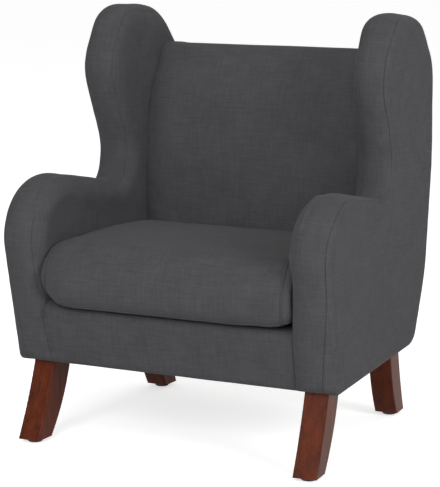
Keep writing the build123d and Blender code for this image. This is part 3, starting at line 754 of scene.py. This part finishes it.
def front_section():
    """Upright section of the padded front edge: hem, face, rolled lip and the run on to the deck."""
    front_step = STRIP * math.sin(TOE)
    face = line_points(BOTTOM - 1e-4, DECK - 0.014)
    section = [(face[0][0] + d, BOTTOM + drop) for d, drop in reversed(HEM[1:])]
    section += [tuple(p) for p in face]
    top = face[-1]
    radius, lip_steps, deck_steps = DECK - top[1], 8, 6
    for k in range(1, lip_steps + 1):
        t = k / lip_steps * math.pi / 2
        y = top[0] + radius * (1 - math.cos(t)) - 0.002 * math.sin(t)
        section.append((y, top[1] + radius * math.sin(t)))
    last = section[-1]
    section += [(last[0] + 0.006 * k, DECK) for k in range(1, deck_steps + 1)]
    return np.array(section) - (front_step, 0.0)


def across_places(count, crowding=1.6):
    """Places from -1 to 1, closer together near the ends."""
    t = np.linspace(-1, 1, count)
    return np.sign(t) * (1 - (1 - np.abs(t)) ** crowding)


def front_panel(name):
    """Padded front of the seat frame, flush with the inner seams of the arms."""
    s = sizes()
    section = front_section()
    run = np.gradient(section, axis=0)
    out = np.stack([-run[:, 1], run[:, 0]], 1) / np.hypot(run[:, 0], run[:, 1])[:, None]
    places = across_places(81)
    rear = float(section[-1][0])
    points = []
    for (y, z), (ny, nz) in zip(section, out):
        for place in places:
            hand = 1 if place > 0 else -1
            half = seam_x(y, STRIP + float(inner_drift(hand, -0.24, z)))
            x = place * half
            far = half - abs(x)
            notch = HELD[hand] * s.seam_depth * math.exp(-(far / SEAM_WIDE) ** 2)
            rise = 0.0015 * swell_share(far, 0.02) - notch
            rise *= smooth(BOTTOM, BOTTOM + 0.012, z) * (1 - smooth(DECK - 0.004, DECK, z))
            rise += 0.0005 * noise.noise(Vector((x * 16, y * 16, z * 16)))
            if x < 0:
                on_lip = smooth(DECK - 0.018, DECK - 0.004, z)
                swell = on_lip * (1 - smooth(rear - 0.012, rear - 0.001, y))
                rise += 0.009 * math.exp(-(far / 0.017) ** 2) * swell
            points.append((x, y + ny * rise, z + nz * rise))
    return new_object(name, points, grid_faces(len(section), len(places)), charcoal_cloth, (0, -1, 0.3))


def deck_sheet(name):
    """Seat deck under the loose cushion, pulled flat over its pad."""
    section = front_section()
    start, end = section[-1][0], BACK_FACE + 0.04
    rows = np.linspace(start, end, 26)
    places = across_places(51)
    points = []
    for y in rows:
        half = seam_x(y, STRIP + 0.006)
        for place in places:
            x = place * half
            edge = min(y - start, half - abs(x))
            dip = 0.0012 * math.exp(-(edge / 0.004) ** 2)
            dip += 0.0004 * abs(noise.noise(Vector((x * 9, y * 9, 1.7))))
            points.append((x, y, DECK - dip))
    return new_object(name, points, grid_faces(len(rows), len(places)), charcoal_cloth, (0, 0, 1))


# Back
def back_section_line():
    """Upright section of the back's padding: face, rolled top and the run over the top rail."""
    depth, height = DEPTH / 2 - BACK_FACE, BACK_TOP - DECK
    shares = ((0.0, -0.05, 0.0), (0.01, 0.50, 0.5), (0.13, 0.80, 0.36), (0.40, 1.0, 0.10),
              (0.70, 0.989, 0.07))
    points = [(BACK_FACE + a * depth, DECK + b * height, c * height) for a, b, c in shares]
    points += [(0.2395, 0.594, 0.0), (0.2395, 0.15, 0.0), (BACK_FACE, 0.15, 0.0)]
    loop, out, side = rounded_loop(points, 0.006)
    last_side = len(shares) - 1
    picked = (side <= last_side) & (loop[:, 1] > DECK - 0.02)
    picked &= ~((side == last_side) & (loop[:, 1] < 0.598))
    return loop[picked], out[picked]


def inside_back(name):
    """Padded inside of the back, crowned across and rolled over the top rail."""
    s = sizes()
    section, out = back_section_line()
    places = across_places(81, 1.9)
    points = []
    for (y, z), (ny, nz) in zip(section, out):
        over = float(smooth(0.195, 0.225, y))
        deep = STRIP + 0.0085 - 0.0105 * over + 0.003 * smooth(0.50, 0.40, z)
        half = seam_x(y, deep) + wing_lean(z) * 0.4
        for place in places:
            x = place * half
            far = half - abs(x)
            pull = s.back_crown * (1 - min(1, far / 0.055)) ** 2.4
            low_top = float(smooth(0.585, 0.622, z))
            draw = pull * (1 - 0.75 * low_top) * (1 - over)
            rise = -draw - 0.0012 * low_top
            rise -= 0.002 * low_top * (1 - min(1, far / 0.09)) ** 2 * (x > 0)
            rise += 0.0009 * noise.noise(Vector((x * 9, 2.2, z * 9))) * min(1, far / 0.03)
            rise += 0.0007 * noise.noise(Vector((x * 45, 6.2, z * 22))) * math.exp(-far / 0.02)
            if x < 0:
                rise += 0.0026 * low_top * math.exp(-((far - 0.012) / 0.012) ** 2)
            points.append((x, y + ny * rise, z + nz * rise))
    return new_object(name, points, grid_faces(len(section), len(places)), charcoal_cloth, (0, -1, 0))


def outside_back(name):
    """Outside back cloth, stretched from side to side and from the top rail to the foot."""
    corner = EDGE[-1]
    first = corner - 5
    picked = range(first, int(np.flatnonzero(LOOP_SIDE == REAR_SIDE)[-1]) + 1)
    places = across_places(71)
    points = []
    for i in picked:
        (y, z), (ny, nz) = LOOP[i], LOOP_OUT[i]
        deep = STRIP - 0.005 if i < corner else -0.0006
        half = seam_x(y, deep) + wing_lean(z)
        for place in places:
            x = place * half
            far = half - abs(x)
            turn_in = -(NOSE + (y - NOSE) * math.cos(TOE) - y) * min(1.0, abs(place)) ** 4
            rise = -0.0016 * math.exp(-(far / 0.0016) ** 2)
            rise += 0.0005 * noise.noise(Vector((x * 12, 7.7, z * 12)))
            if i == first:
                rise -= 0.0024     # tucked under the inside back
            elif first + 1 < i < corner + 3:
                rise += 0.0008     # over the strips' ends
            points.append((x, y - turn_in + ny * rise, z + nz * rise))
    return new_object(name, points, grid_faces(len(picked), len(places)), charcoal_cloth, (0, 1, 0))


# Cushion
def cushion_half(y):
    """Half the cushion's width at a place along the chair."""
    return seam_x(y, STRIP + ARM_PADDING + CUSHION_GAP)


def cushion_section():
    """Upright section of the cushion: round nose, slight crown, squarer rear."""
    low, front, rear = CUSHION_LOW, -0.2555, BACK_FACE - 0.0006
    corners = ((front, low, 0.030), (front, low + 0.099, 0.056), (-0.085, low + 0.1092, 1.4),
               (rear, low + 0.096, 0.024), (rear, low, 0.010))
    return rounded_loop(corners, 0.0055)[0]


def cushion_rows():
    """The section at places across the cushion, drawn in towards both ends."""
    half_wide, half_deep = 0.212, 0.165
    above, below = 0.045, 0.064    # the section's heights over and under its middle
    middle_y, middle_z = -0.09, CUSHION_LOW + below
    run = 0.050                    # how far in from each end the form is rounded
    section = cushion_section()
    y, z = section[:, 0], section[:, 1]
    nose = smooth(-0.12, -0.245, y)
    half = cushion_half(y) + 0.0022 * nose
    back = np.where(y < middle_y, 0.009 * (middle_y - y) / half_deep,
                    -0.007 * (y - middle_y) / half_deep)
    up = np.where(z > middle_z, -0.007 * (z - middle_z) / above, 0.0)
    rows = []
    for place in across_places(73, 2.2):
        end = 1 - min(1.0, (1 - abs(place)) * half_wide / run)
        round_off = 1 - math.sqrt(max(0.0, 1 - end ** 2.3))
        drop = 0.034 if place < 0 else 0.012
        down = np.where(z < middle_z, (0.004 + drop * nose) * (middle_z - z) / below, 0.0)
        lift = 0.0032 * smooth(0.45, 0.85, place) * nose * np.clip((middle_z - z) / below, 0, 1)
        height = z + (up + down) * round_off + lift
        rows.append(np.stack([place * half, y + back * round_off, height], 1))
    return rows


def closed_cushion(name):
    """Closed form of the cushion: its rows, with a net drawn across each end."""
    rows = cushion_rows()
    count = len(rows[0])
    points = [tuple(p) for row in rows for p in row]
    faces = grid_faces(len(rows), count, closed=True)
    for row, flip in ((0, False), (len(rows) - 1, True)):
        base = row * count
        ring = [base + j for j in range(count)]
        mean = np.mean([points[i] for i in ring], 0)
        previous = ring
        for share in (0.93, 0.8, 0.6, 0.35):
            fresh = []
            for i in ring:
                p = mean + (np.array(points[i]) - mean) * share
                p[0] += (1 if flip else -1) * 0.0005 * (1 - share)
                points.append(tuple(p))
                fresh.append(len(points) - 1)
            for j in range(count):
                k = (j + 1) % count
                faces.append((previous[j], previous[k], fresh[k], fresh[j]) if flip
                             else (previous[k], previous[j], fresh[j], fresh[k]))
            previous = fresh
        points.append(tuple(mean))
        tip = len(points) - 1
        for j in range(count):
            k = (j + 1) % count
            faces.append((previous[j], previous[k], tip) if flip else (previous[k], previous[j], tip))
    return new_object(name, points, faces, charcoal_cloth)


def puff(made, voxel, pressure, cap, lowest):
    """Swells a closed cloth form with a short simulation, and keeps each point near its start."""
    bpy.context.view_layer.objects.active = made
    tool = made.modifiers.new("even net", "REMESH")
    tool.mode = "VOXEL"
    tool.voxel_size = voxel
    settle(made)
    start = np.array([v.co for v in made.data.vertices])
    tool = made.modifiers.new("cloth", "CLOTH")
    for key, value in (
        ("quality", 5), ("mass", 0.3), ("use_pressure", True), ("uniform_pressure_force", pressure),
        ("tension_stiffness", 18), ("compression_stiffness", 18), ("bending_stiffness", 1.2),
    ):
        setattr(tool.settings, key, value)
    tool.settings.effector_weights.gravity = 0.0
    tool.collision_settings.use_collision = False
    tool.collision_settings.use_self_collision = False
    scene, last = bpy.context.scene, 20
    scene.frame_start, scene.frame_end = 1, last
    tool.point_cache.frame_start, tool.point_cache.frame_end = 1, last
    for moment in range(1, last + 1):
        scene.frame_set(moment)
    settle(made)
    scene.frame_set(1)
    moved = np.array([v.co for v in made.data.vertices]) - start
    far = np.linalg.norm(moved, axis=1)
    scale = np.where(far > cap, cap / np.maximum(far, 1e-9), 1.0)
    final = start + moved * scale[:, None]
    final[:, 2] = np.maximum(final[:, 2], lowest)
    made.data.vertices.foreach_set("co", final.astype(np.float32).ravel())
    made.data.update()
    tool = made.modifiers.new("finer net", "SUBSURF")
    tool.levels = 1
    settle(made)
    return made


def pull_in(made, paths, depth, wide):
    """Draws the cloth in along its seams."""
    places = [p for path in paths for p in path]
    tree = kdtree.KDTree(len(places))
    for i, p in enumerate(places):
        tree.insert(p, i)
    tree.balance()
    mesh = made.data
    moved = np.array([v.co - v.normal * (depth * math.exp(-(tree.find(v.co)[2] / wide) ** 2))
                      for v in mesh.vertices], np.float32)
    mesh.vertices.foreach_set("co", moved.ravel())
    mesh.update()


def settle(made):
    """Applies what the object's modifiers give."""
    graph = bpy.context.evaluated_depsgraph_get()
    fresh = bpy.data.meshes.new_from_object(made.evaluated_get(graph))
    old = made.data
    finishes = list(old.materials)
    made.modifiers.clear()
    made.data = fresh
    fresh.materials.clear()
    for finish in finishes:
        fresh.materials.append(finish)
    fresh.polygons.foreach_set("use_smooth", [True] * len(fresh.polygons))
    bpy.data.meshes.remove(old)


def round_cord(name, path, radius, maker, closed=True, sides=8):
    """Slender round form along a path."""
    path = np.array(path)
    count = len(path)
    points = []
    for i in range(count):
        before = path[i - 1] if (closed or i > 0) else path[i]
        after = path[(i + 1) % count] if (closed or i < count - 1) else path[i]
        along = Vector(after - before).normalized()
        lift = Vector((1, 0, 0)) if abs(along.x) < 0.8 else Vector((0, 0, 1))
        u = along.cross(lift).normalized()
        v = along.cross(u).normalized()
        for k in range(sides):
            a = 2 * math.pi * k / sides
            points.append(tuple(Vector(path[i]) + (u * math.cos(a) + v * math.sin(a)) * radius))
    rows = count + 1 if closed else count
    faces = [tuple(i % (count * sides) for i in face) for face in grid_faces(rows, sides, closed=True)]
    return new_object(name, points, faces, maker)


def on_cloth(cushion, path, sunk=0.0003):
    """A path laid on the cushion's cloth, sunk in it by a distance, or raised where that is negative."""
    tree = BVHTree.FromPolygons([v.co[:] for v in cushion.data.vertices],
                                [tuple(f.vertices) for f in cushion.data.polygons])
    laid = []
    for point in path:
        found = tree.find_nearest(Vector(point))
        if found[0] is None:
            raise RuntimeError("the cushion's seam found no cloth to lie on")
        laid.append(np.array(found[0]) - np.array(found[1]) * sunk)
    return np.array(laid)


def end_seam(cushion, hand):
    """Route of the seam round an end of the cushion."""
    path = cushion_rows()[SEAM_ROWS[hand]]
    height = path[:, 2] - path[:, 2].min()
    reach = 0.024                  # height over which the seam turns at its lower and upper corners
    low = np.clip(1 - height / reach, 0, 1) ** 2
    high = np.clip(1 - (height.max() - height) / reach, 0, 1) ** 2
    path[:, 0] -= hand * 0.012 * (low + 0.6 * high)
    path = on_cloth(cushion, path)
    for _ in range(3):
        path = (np.roll(path, 1, 0) + 2 * path + np.roll(path, -1, 0)) / 4
    return path


def nose_seam(cushion):
    """Route of the seam along the cushion's lower front, a little above its underside."""
    height = DECK + 0.0045
    path = []
    for row in cushion_rows()[NOSE_ROWS]:
        nose = row[row[:, 1] < -0.20]
        path.append(nose[np.argmin(abs(nose[:, 2] - height - (nose[:, 2].min() - DECK)))])
    return on_cloth(cushion, path)


def zip_parts():
    """Zip in the cushion's rear: knitted tape and a row of teeth."""
    low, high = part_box("cushion_zip")
    form = bmesh.new()
    rows, teeth = 61, 150
    y = high.y - 0.0002
    groove = 0.0002                # how far the tape dips along its teeth
    across = ((low.z, 0.0), (low.z * 0.6 + high.z * 0.4, groove),
              (low.z * 0.4 + high.z * 0.6, groove), (high.z, 0.0))
    for i in range(rows):
        x = low.x + (high.x - low.x) * i / (rows - 1)
        for z, dip in across:
            form.verts.new((x, y - dip - 0.0001 * (i % 2), z))
    form.verts.ensure_lookup_table()
    wide = len(across)
    for i in range(rows - 1):
        for k in range(i * wide, i * wide + wide - 1):
            form.faces.new([form.verts[n] for n in (k, k + 1, k + 1 + wide, k + wide)])
    middle = (low.z + high.z) / 2
    for i in range(teeth):
        x = low.x + (high.x - low.x) * (i + 0.5) / teeth
        side = 0.0006 if i % 2 else -0.0006
        block(form, (x, y + 0.0001, middle + side), (0.0012, 0.0005, 0.0028))
    mesh = bpy.data.meshes.new("cushion_zip_tape")
    form.to_mesh(mesh)
    form.free()
    tape = linked("cushion_zip_tape", mesh)
    mesh.materials.append(finish_of(zip_tape))
    lay_weave(tape)
    return tape


def block(form, centre, size):
    """A small block with its faces, added to a form."""
    made = bmesh.ops.create_cube(form, size=1.0)
    for vert in made["verts"]:
        vert.co = Vector(vert.co[i] * size[i] + centre[i] for i in range(3))


# Underside
def dust_sheet(name):
    """Black dust cover with a folded hem, sagging a little between its staples."""
    low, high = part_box("dust_cover")
    turn_over = 0.004
    points, rows = [], 33
    places = across_places(41, 1.3)
    for i in range(rows):
        y = low.y + (high.y - low.y) * i / (rows - 1)
        half = seam_x(y, 0.0122)
        for place in places:
            x = place * half
            edge = min(half - abs(x), y - low.y, high.y - y)
            sag = 0.0022 * float(smooth(0.055, 0.16, edge))
            hem = -0.0003 if edge < turn_over else 0.0
            wave = 0.0003 * noise.noise(Vector((x * 22, y * 22, 0.5)))
            points.append((x, y, high.z - 0.0006 + hem - sag - wave))
    return new_object(name, points, grid_faces(rows, len(places)), lining_cloth, (0, 0, -1))


def islands(mesh):
    """The places of a mesh's points, one group for each part of it that hangs together."""
    form = bmesh.new()
    form.from_mesh(mesh)
    seen, groups = set(), []
    for vert in form.verts:
        if vert.index in seen:
            continue
        stack, group = [vert], []
        seen.add(vert.index)
        while stack:
            v = stack.pop()
            group.append(v.co.copy())
            for e in v.link_edges:
                o = e.other_vert(v)
                if o.index not in seen:
                    seen.add(o.index)
                    stack.append(o)
        groups.append(group)
    form.free()
    return groups


def straps(name, node, upright):
    """Webbing straps, one for each solid of the node: ribbed tapes that run from front to rear and sag
    slightly under the seat, or upright ones that run from side to side behind the back."""
    rows, columns = 40, 9
    points, faces = [], []
    for group in merged(islands(frame["nodes"][node].data)):
        array = np.array([tuple(p) for p in group])
        low, high = array.min(0), array.max(0)
        span = high - low
        base = len(points)
        for i in range(rows):
            t = i / (rows - 1)
            for j in range(columns):
                u = j / (columns - 1)
                rib = 0.00025 * (j % 2)
                if upright:
                    y = low[1] + 0.0005 + rib + face_at(array, low, high, u)
                    points.append((low[0] + span[0] * t, y, low[2] + span[2] * u))
                else:
                    dip = 0.0012 * math.sin(math.pi * t)
                    z = high[2] - 0.0004 - rib - dip
                    points.append((low[0] + span[0] * u, low[1] + span[1] * t, z))
        faces += [tuple(base + k for k in face) for face in grid_faces(rows, columns)]
    made = new_object(name, points, faces, webbing_cloth)
    thicken(made, 0.0014)
    return made


def face_at(array, low, high, share):
    """How far an upright strap's face lies behind its foremost place, at a share of its height."""
    lower = array[array[:, 2] < low[2] + 1e-4][:, 1].min() - low[1]
    upper = array[array[:, 2] > high[2] - 1e-4][:, 1].min() - low[1]
    return lower + (upper - lower) * share


def merged(groups):
    """Joins point groups whose boxes touch, so that each strap is one group."""
    boxes = []
    for group in groups:
        array = np.array([tuple(p) for p in group])
        low, high = array.min(0) - 1e-5, array.max(0) + 1e-5
        hit = [b for b in boxes if np.all(b[0] <= high) and np.all(low <= b[1])]
        for b in hit:
            low, high = np.minimum(low, b[0]), np.maximum(high, b[1])
            group = group + b[2]
        boxes = [b for b in boxes if not any(b is h for h in hit)] + [(low, high, group)]
    return [b[2] for b in boxes]


# Operators
def say_done(made, body, nodes):
    """Hangs a soft piece on its body and hides the solids that it stands for, its filling among them."""
    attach(made, body)
    if nodes:
        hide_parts(*nodes)
    return made


class CHAIR_OT_sides(bpy.types.Operator):
    """Cover the two side units: outside panel, padded edge strip and padded inside"""
    bl_idname = "chair.sides"
    bl_label = "Cover the sides"

    def execute(self, context):
        for hand, word in ((1, "left"), (-1, "right")):
            outer = outer_panel(hand, word + "_outside_panel")
            say_done(outer, "chair",
                     [word + "_outer_cover", word + "_outer_wadding"])
            strip = edge_strip(hand, word + "_arm_and_wing_strip")
            say_done(strip, "chair",
                     [word + "_edge_strip", word + "_edge_foam"])
            inner = inner_panel(hand, word + "_inside_panel")
            say_done(inner, "chair",
                     [word + "_inner_cover", word + "_inner_foam"])
        return {"FINISHED"}


class CHAIR_OT_seat(bpy.types.Operator):
    """Cover the padded front edge and the deck of the seat"""
    bl_idname = "chair.seat"
    bl_label = "Cover the seat"

    def execute(self, context):
        front = front_panel("front_edge_panel")
        say_done(front, "chair", ["front_cover", "front_foam"])
        deck = deck_sheet("seat_deck_cloth")
        say_done(deck, "chair", ["deck_cover", "deck_pad"])
        return {"FINISHED"}


class CHAIR_OT_back(bpy.types.Operator):
    """Cover the padded inside and the plain outside of the back"""
    bl_idname = "chair.back"
    bl_label = "Cover the back"

    def execute(self, context):
        back = inside_back("inside_back_panel")
        say_done(back, "chair", ["back_cover", "back_foam"])
        rear = outside_back("outside_back_cloth")
        say_done(rear, "chair", ["outer_back_cover"])
        return {"FINISHED"}


class CHAIR_OT_cushion(bpy.types.Operator):
    """Make the loose seat cushion with its end seams and its zip"""
    bl_idname = "chair.cushion"
    bl_label = "Make the cushion"

    def execute(self, context):
        made = closed_cushion("seat_cushion")
        puff(made, voxel=0.0055, pressure=4.0, cap=0.002, lowest=DECK + 0.0004)
        paths = [end_seam(made, 1), end_seam(made, -1)]
        pull_in(made, paths, depth=0.0018, wide=0.0032)
        lay_weave(made)
        for path, word in zip(paths + [nose_seam(made)], ("left", "right", "nose")):
            route = on_cloth(made, path, sunk=-0.0004)
            seam = round_cord("cushion_" + word + "_seam", route, sizes().welt, charcoal_cloth,
                              closed=word != "nose")
            say_done(seam, "cushion", [])
        say_done(made, "cushion", ["cushion_cover", "cushion_foam"])
        tape = zip_parts()
        say_done(tape, "cushion", ["cushion_zip"])
        return {"FINISHED"}


class CHAIR_OT_underside(bpy.types.Operator):
    """Make the dust cover and the webbing of the seat and the back"""
    bl_idname = "chair.underside"
    bl_label = "Make the underside"

    def execute(self, context):
        sheet = dust_sheet("dust_cover_cloth")
        say_done(sheet, "chair", ["dust_cover"])
        seat = straps("seat_straps", "seat_webbing", upright=False)
        say_done(seat, "chair", ["seat_webbing"])
        back = straps("back_straps", "back_webbing", upright=True)
        say_done(back, "chair", ["back_webbing"])
        return {"FINISHED"}


class CHAIR_OT_woodwork(bpy.types.Operator):
    """Finish the legs, boards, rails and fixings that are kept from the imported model"""
    bl_idname = "chair.woodwork"
    bl_label = "Finish wood and metal"

    def execute(self, context):
        finishes = {
            "lacquered_wood": lacquered_beech, "plywood": sanded_plywood, "frame_timber": planed_pine,
            "steel": zinc_steel, "black_plastic": moulded_nylon,
        }
        kept = {part["node"]: part["material_slot"] for part in frame["record"]["subparts"]}
        for name, made in frame["nodes"].items():
            if made.hide_render:
                continue
            if kept[name] not in finishes:
                raise RuntimeError(name + " is soft and still shows")
            finish = finish_of(finishes[kept[name]])
            if not made.data.materials:
                made.data.materials.append(finish)
            for slot in made.material_slots:
                slot.link = "OBJECT"
                slot.material = finish
        return {"FINISHED"}


class CHAIR_OT_stage(bpy.types.Operator):
    """Set up the pale floor, the soft studio light and the camera"""
    bl_idname = "chair.stage"
    bl_label = "Set the stage"

    def execute(self, context):
        scene = context.scene
        stage_floor()
        stage_lights(scene)
        stage_camera(scene)
        scene.view_settings.view_transform = "Standard"
        return {"FINISHED"}


def background_rays(tree):
    """1 for the rays that show the white background: from the camera, off gloss and through glass."""
    path = add_node(tree, "ShaderNodeLightPath").outputs
    gloss = add_node(tree, "ShaderNodeMath", {"operation": "MAXIMUM"}, {
        0: path["Is Camera Ray"], 1: path["Is Glossy Ray"]})
    both = add_node(tree, "ShaderNodeMath", {"operation": "MAXIMUM"}, {
        0: gloss.outputs[0], 1: path["Is Transmission Ray"]})
    return both.outputs[0]


def stage_floor():
    """Pale floor that shows as a white background and keeps the chair's shadow."""
    mesh = bpy.data.meshes.new("floor")
    far = 30.0
    corners = [(-far, -far, 0), (far, -far, 0), (far, far, 0), (-far, far, 0)]
    mesh.from_pydata(corners, [], [(0, 1, 2, 3)])
    made = linked("floor", mesh)
    finish = bpy.data.materials.new("Matt studio paper")
    finish.use_nodes = True
    tree = finish.node_tree
    tree.nodes.clear()
    paper = add_node(tree, "ShaderNodeBsdfDiffuse", {"Color": linear(colours().floor)})
    glow = add_node(tree, "ShaderNodeEmission", {"Color": WHITE})
    level = add_node(tree, "ShaderNodeMath", {"operation": "MULTIPLY", 1: FLOOR_GLOW}, {
        0: background_rays(tree)})
    tree.links.new(level.outputs[0], glow.inputs["Strength"])
    both = add_node(tree, "ShaderNodeAddShader", None, {0: paper.outputs[0], 1: glow.outputs[0]})
    add_node(tree, "ShaderNodeOutputMaterial", None, {"Surface": both.outputs[0]})
    mesh.materials.append(finish)


def stage_lights(scene):
    """A white world that lights the chair softly, and three softboxes."""
    world = bpy.data.worlds.new("Studio")
    scene.world = world
    world.use_nodes = True
    tree = world.node_tree
    tree.nodes.clear()
    level = add_node(tree, "ShaderNodeMapRange", {"To Min": WORLD_LIGHT, "To Max": 1.0}, {
        0: background_rays(tree)})
    back = add_node(tree, "ShaderNodeBackground", {"Color": WHITE}, {"Strength": level.outputs[0]})
    add_node(tree, "ShaderNodeOutputWorld", None, {"Surface": back.outputs[0]})
    for name, place, aim, wide, power in (
        ("key softbox", (0.2, -3.2, 1.6), (0.0, 0.0, 0.35), 1.8, 67.0),
        ("fill softbox", (3.0, -1.1, 1.6), (0.0, 0.0, 0.35), 1.4, 60.0),
        ("top softbox", (0.0, 0.4, 2.8), (0.0, 0.0, 0.3), 2.2, 14.0),
    ):
        light = bpy.data.lights.new(name, "AREA")
        light.size = wide
        light.energy = power
        lamp = linked(name, light)
        lamp.location = place
        lamp.rotation_mode = "QUATERNION"
        lamp.rotation_quaternion = (Vector(aim) - Vector(place)).to_track_quat("-Z", "Y")


def stage_camera(scene):
    """The photograph's viewpoint: a long lens, a little above the chair, towards the sitter's left."""
    data = bpy.data.cameras.new("camera")
    camera = linked("camera", data)
    around, above, away = math.radians(25.6047), math.radians(10.3641), 3.0663
    level = math.cos(above)
    back = Vector((math.sin(around) * level, -math.cos(around) * level, math.sin(above)))
    camera.rotation_mode = "QUATERNION"
    camera.location = Vector(AIM) + back * away
    camera.rotation_quaternion = (-back).to_track_quat("-Z", "Y")
    data.sensor_width = 36.0
    data.lens = 138.99
    data.clip_end = 100.0
    scene.camera = camera


class CHAIR_PT_panel(bpy.types.Panel):
    """Lists the chair's steps and settings"""
    bl_idname = "CHAIR_PT_panel"
    bl_label = "Chair"
    bl_space_type = "VIEW_3D"
    bl_region_type = "UI"
    bl_category = "Chair"

    def draw(self, context):
        layout = self.layout
        for step in OPERATORS:
            layout.operator(step.bl_idname)
        for group in (context.scene.chair_sizes, context.scene.chair_colours):
            box = layout.box()
            for name in group.bl_rna.properties.keys():
                if name not in ("rna_type", "name"):
                    box.prop(group, name)


OPERATORS = (CHAIR_OT_sides, CHAIR_OT_seat, CHAIR_OT_back, CHAIR_OT_cushion, CHAIR_OT_underside,
             CHAIR_OT_woodwork, CHAIR_OT_stage)
CLASSES = (ChairSizes, ChairColours) + OPERATORS + (CHAIR_PT_panel,)


def register():
    """Makes the settings, the steps and the panel known."""
    for item in CLASSES:
        bpy.utils.register_class(item)
    bpy.types.Scene.chair_sizes = PointerProperty(type=ChairSizes)
    bpy.types.Scene.chair_colours = PointerProperty(type=ChairColours)


def unregister():
    """Takes them all away again."""
    del bpy.types.Scene.chair_sizes
    del bpy.types.Scene.chair_colours
    for item in reversed(CLASSES):
        bpy.utils.unregister_class(item)


def main():
    """Makes the chair and its stage."""
    register()
    bpy.ops.chair.sides()
    bpy.ops.chair.seat()
    bpy.ops.chair.back()
    bpy.ops.chair.cushion()
    bpy.ops.chair.underside()
    bpy.ops.chair.woodwork()
    bpy.ops.chair.stage()
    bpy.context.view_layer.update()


if __name__ == "__main__":
    main()
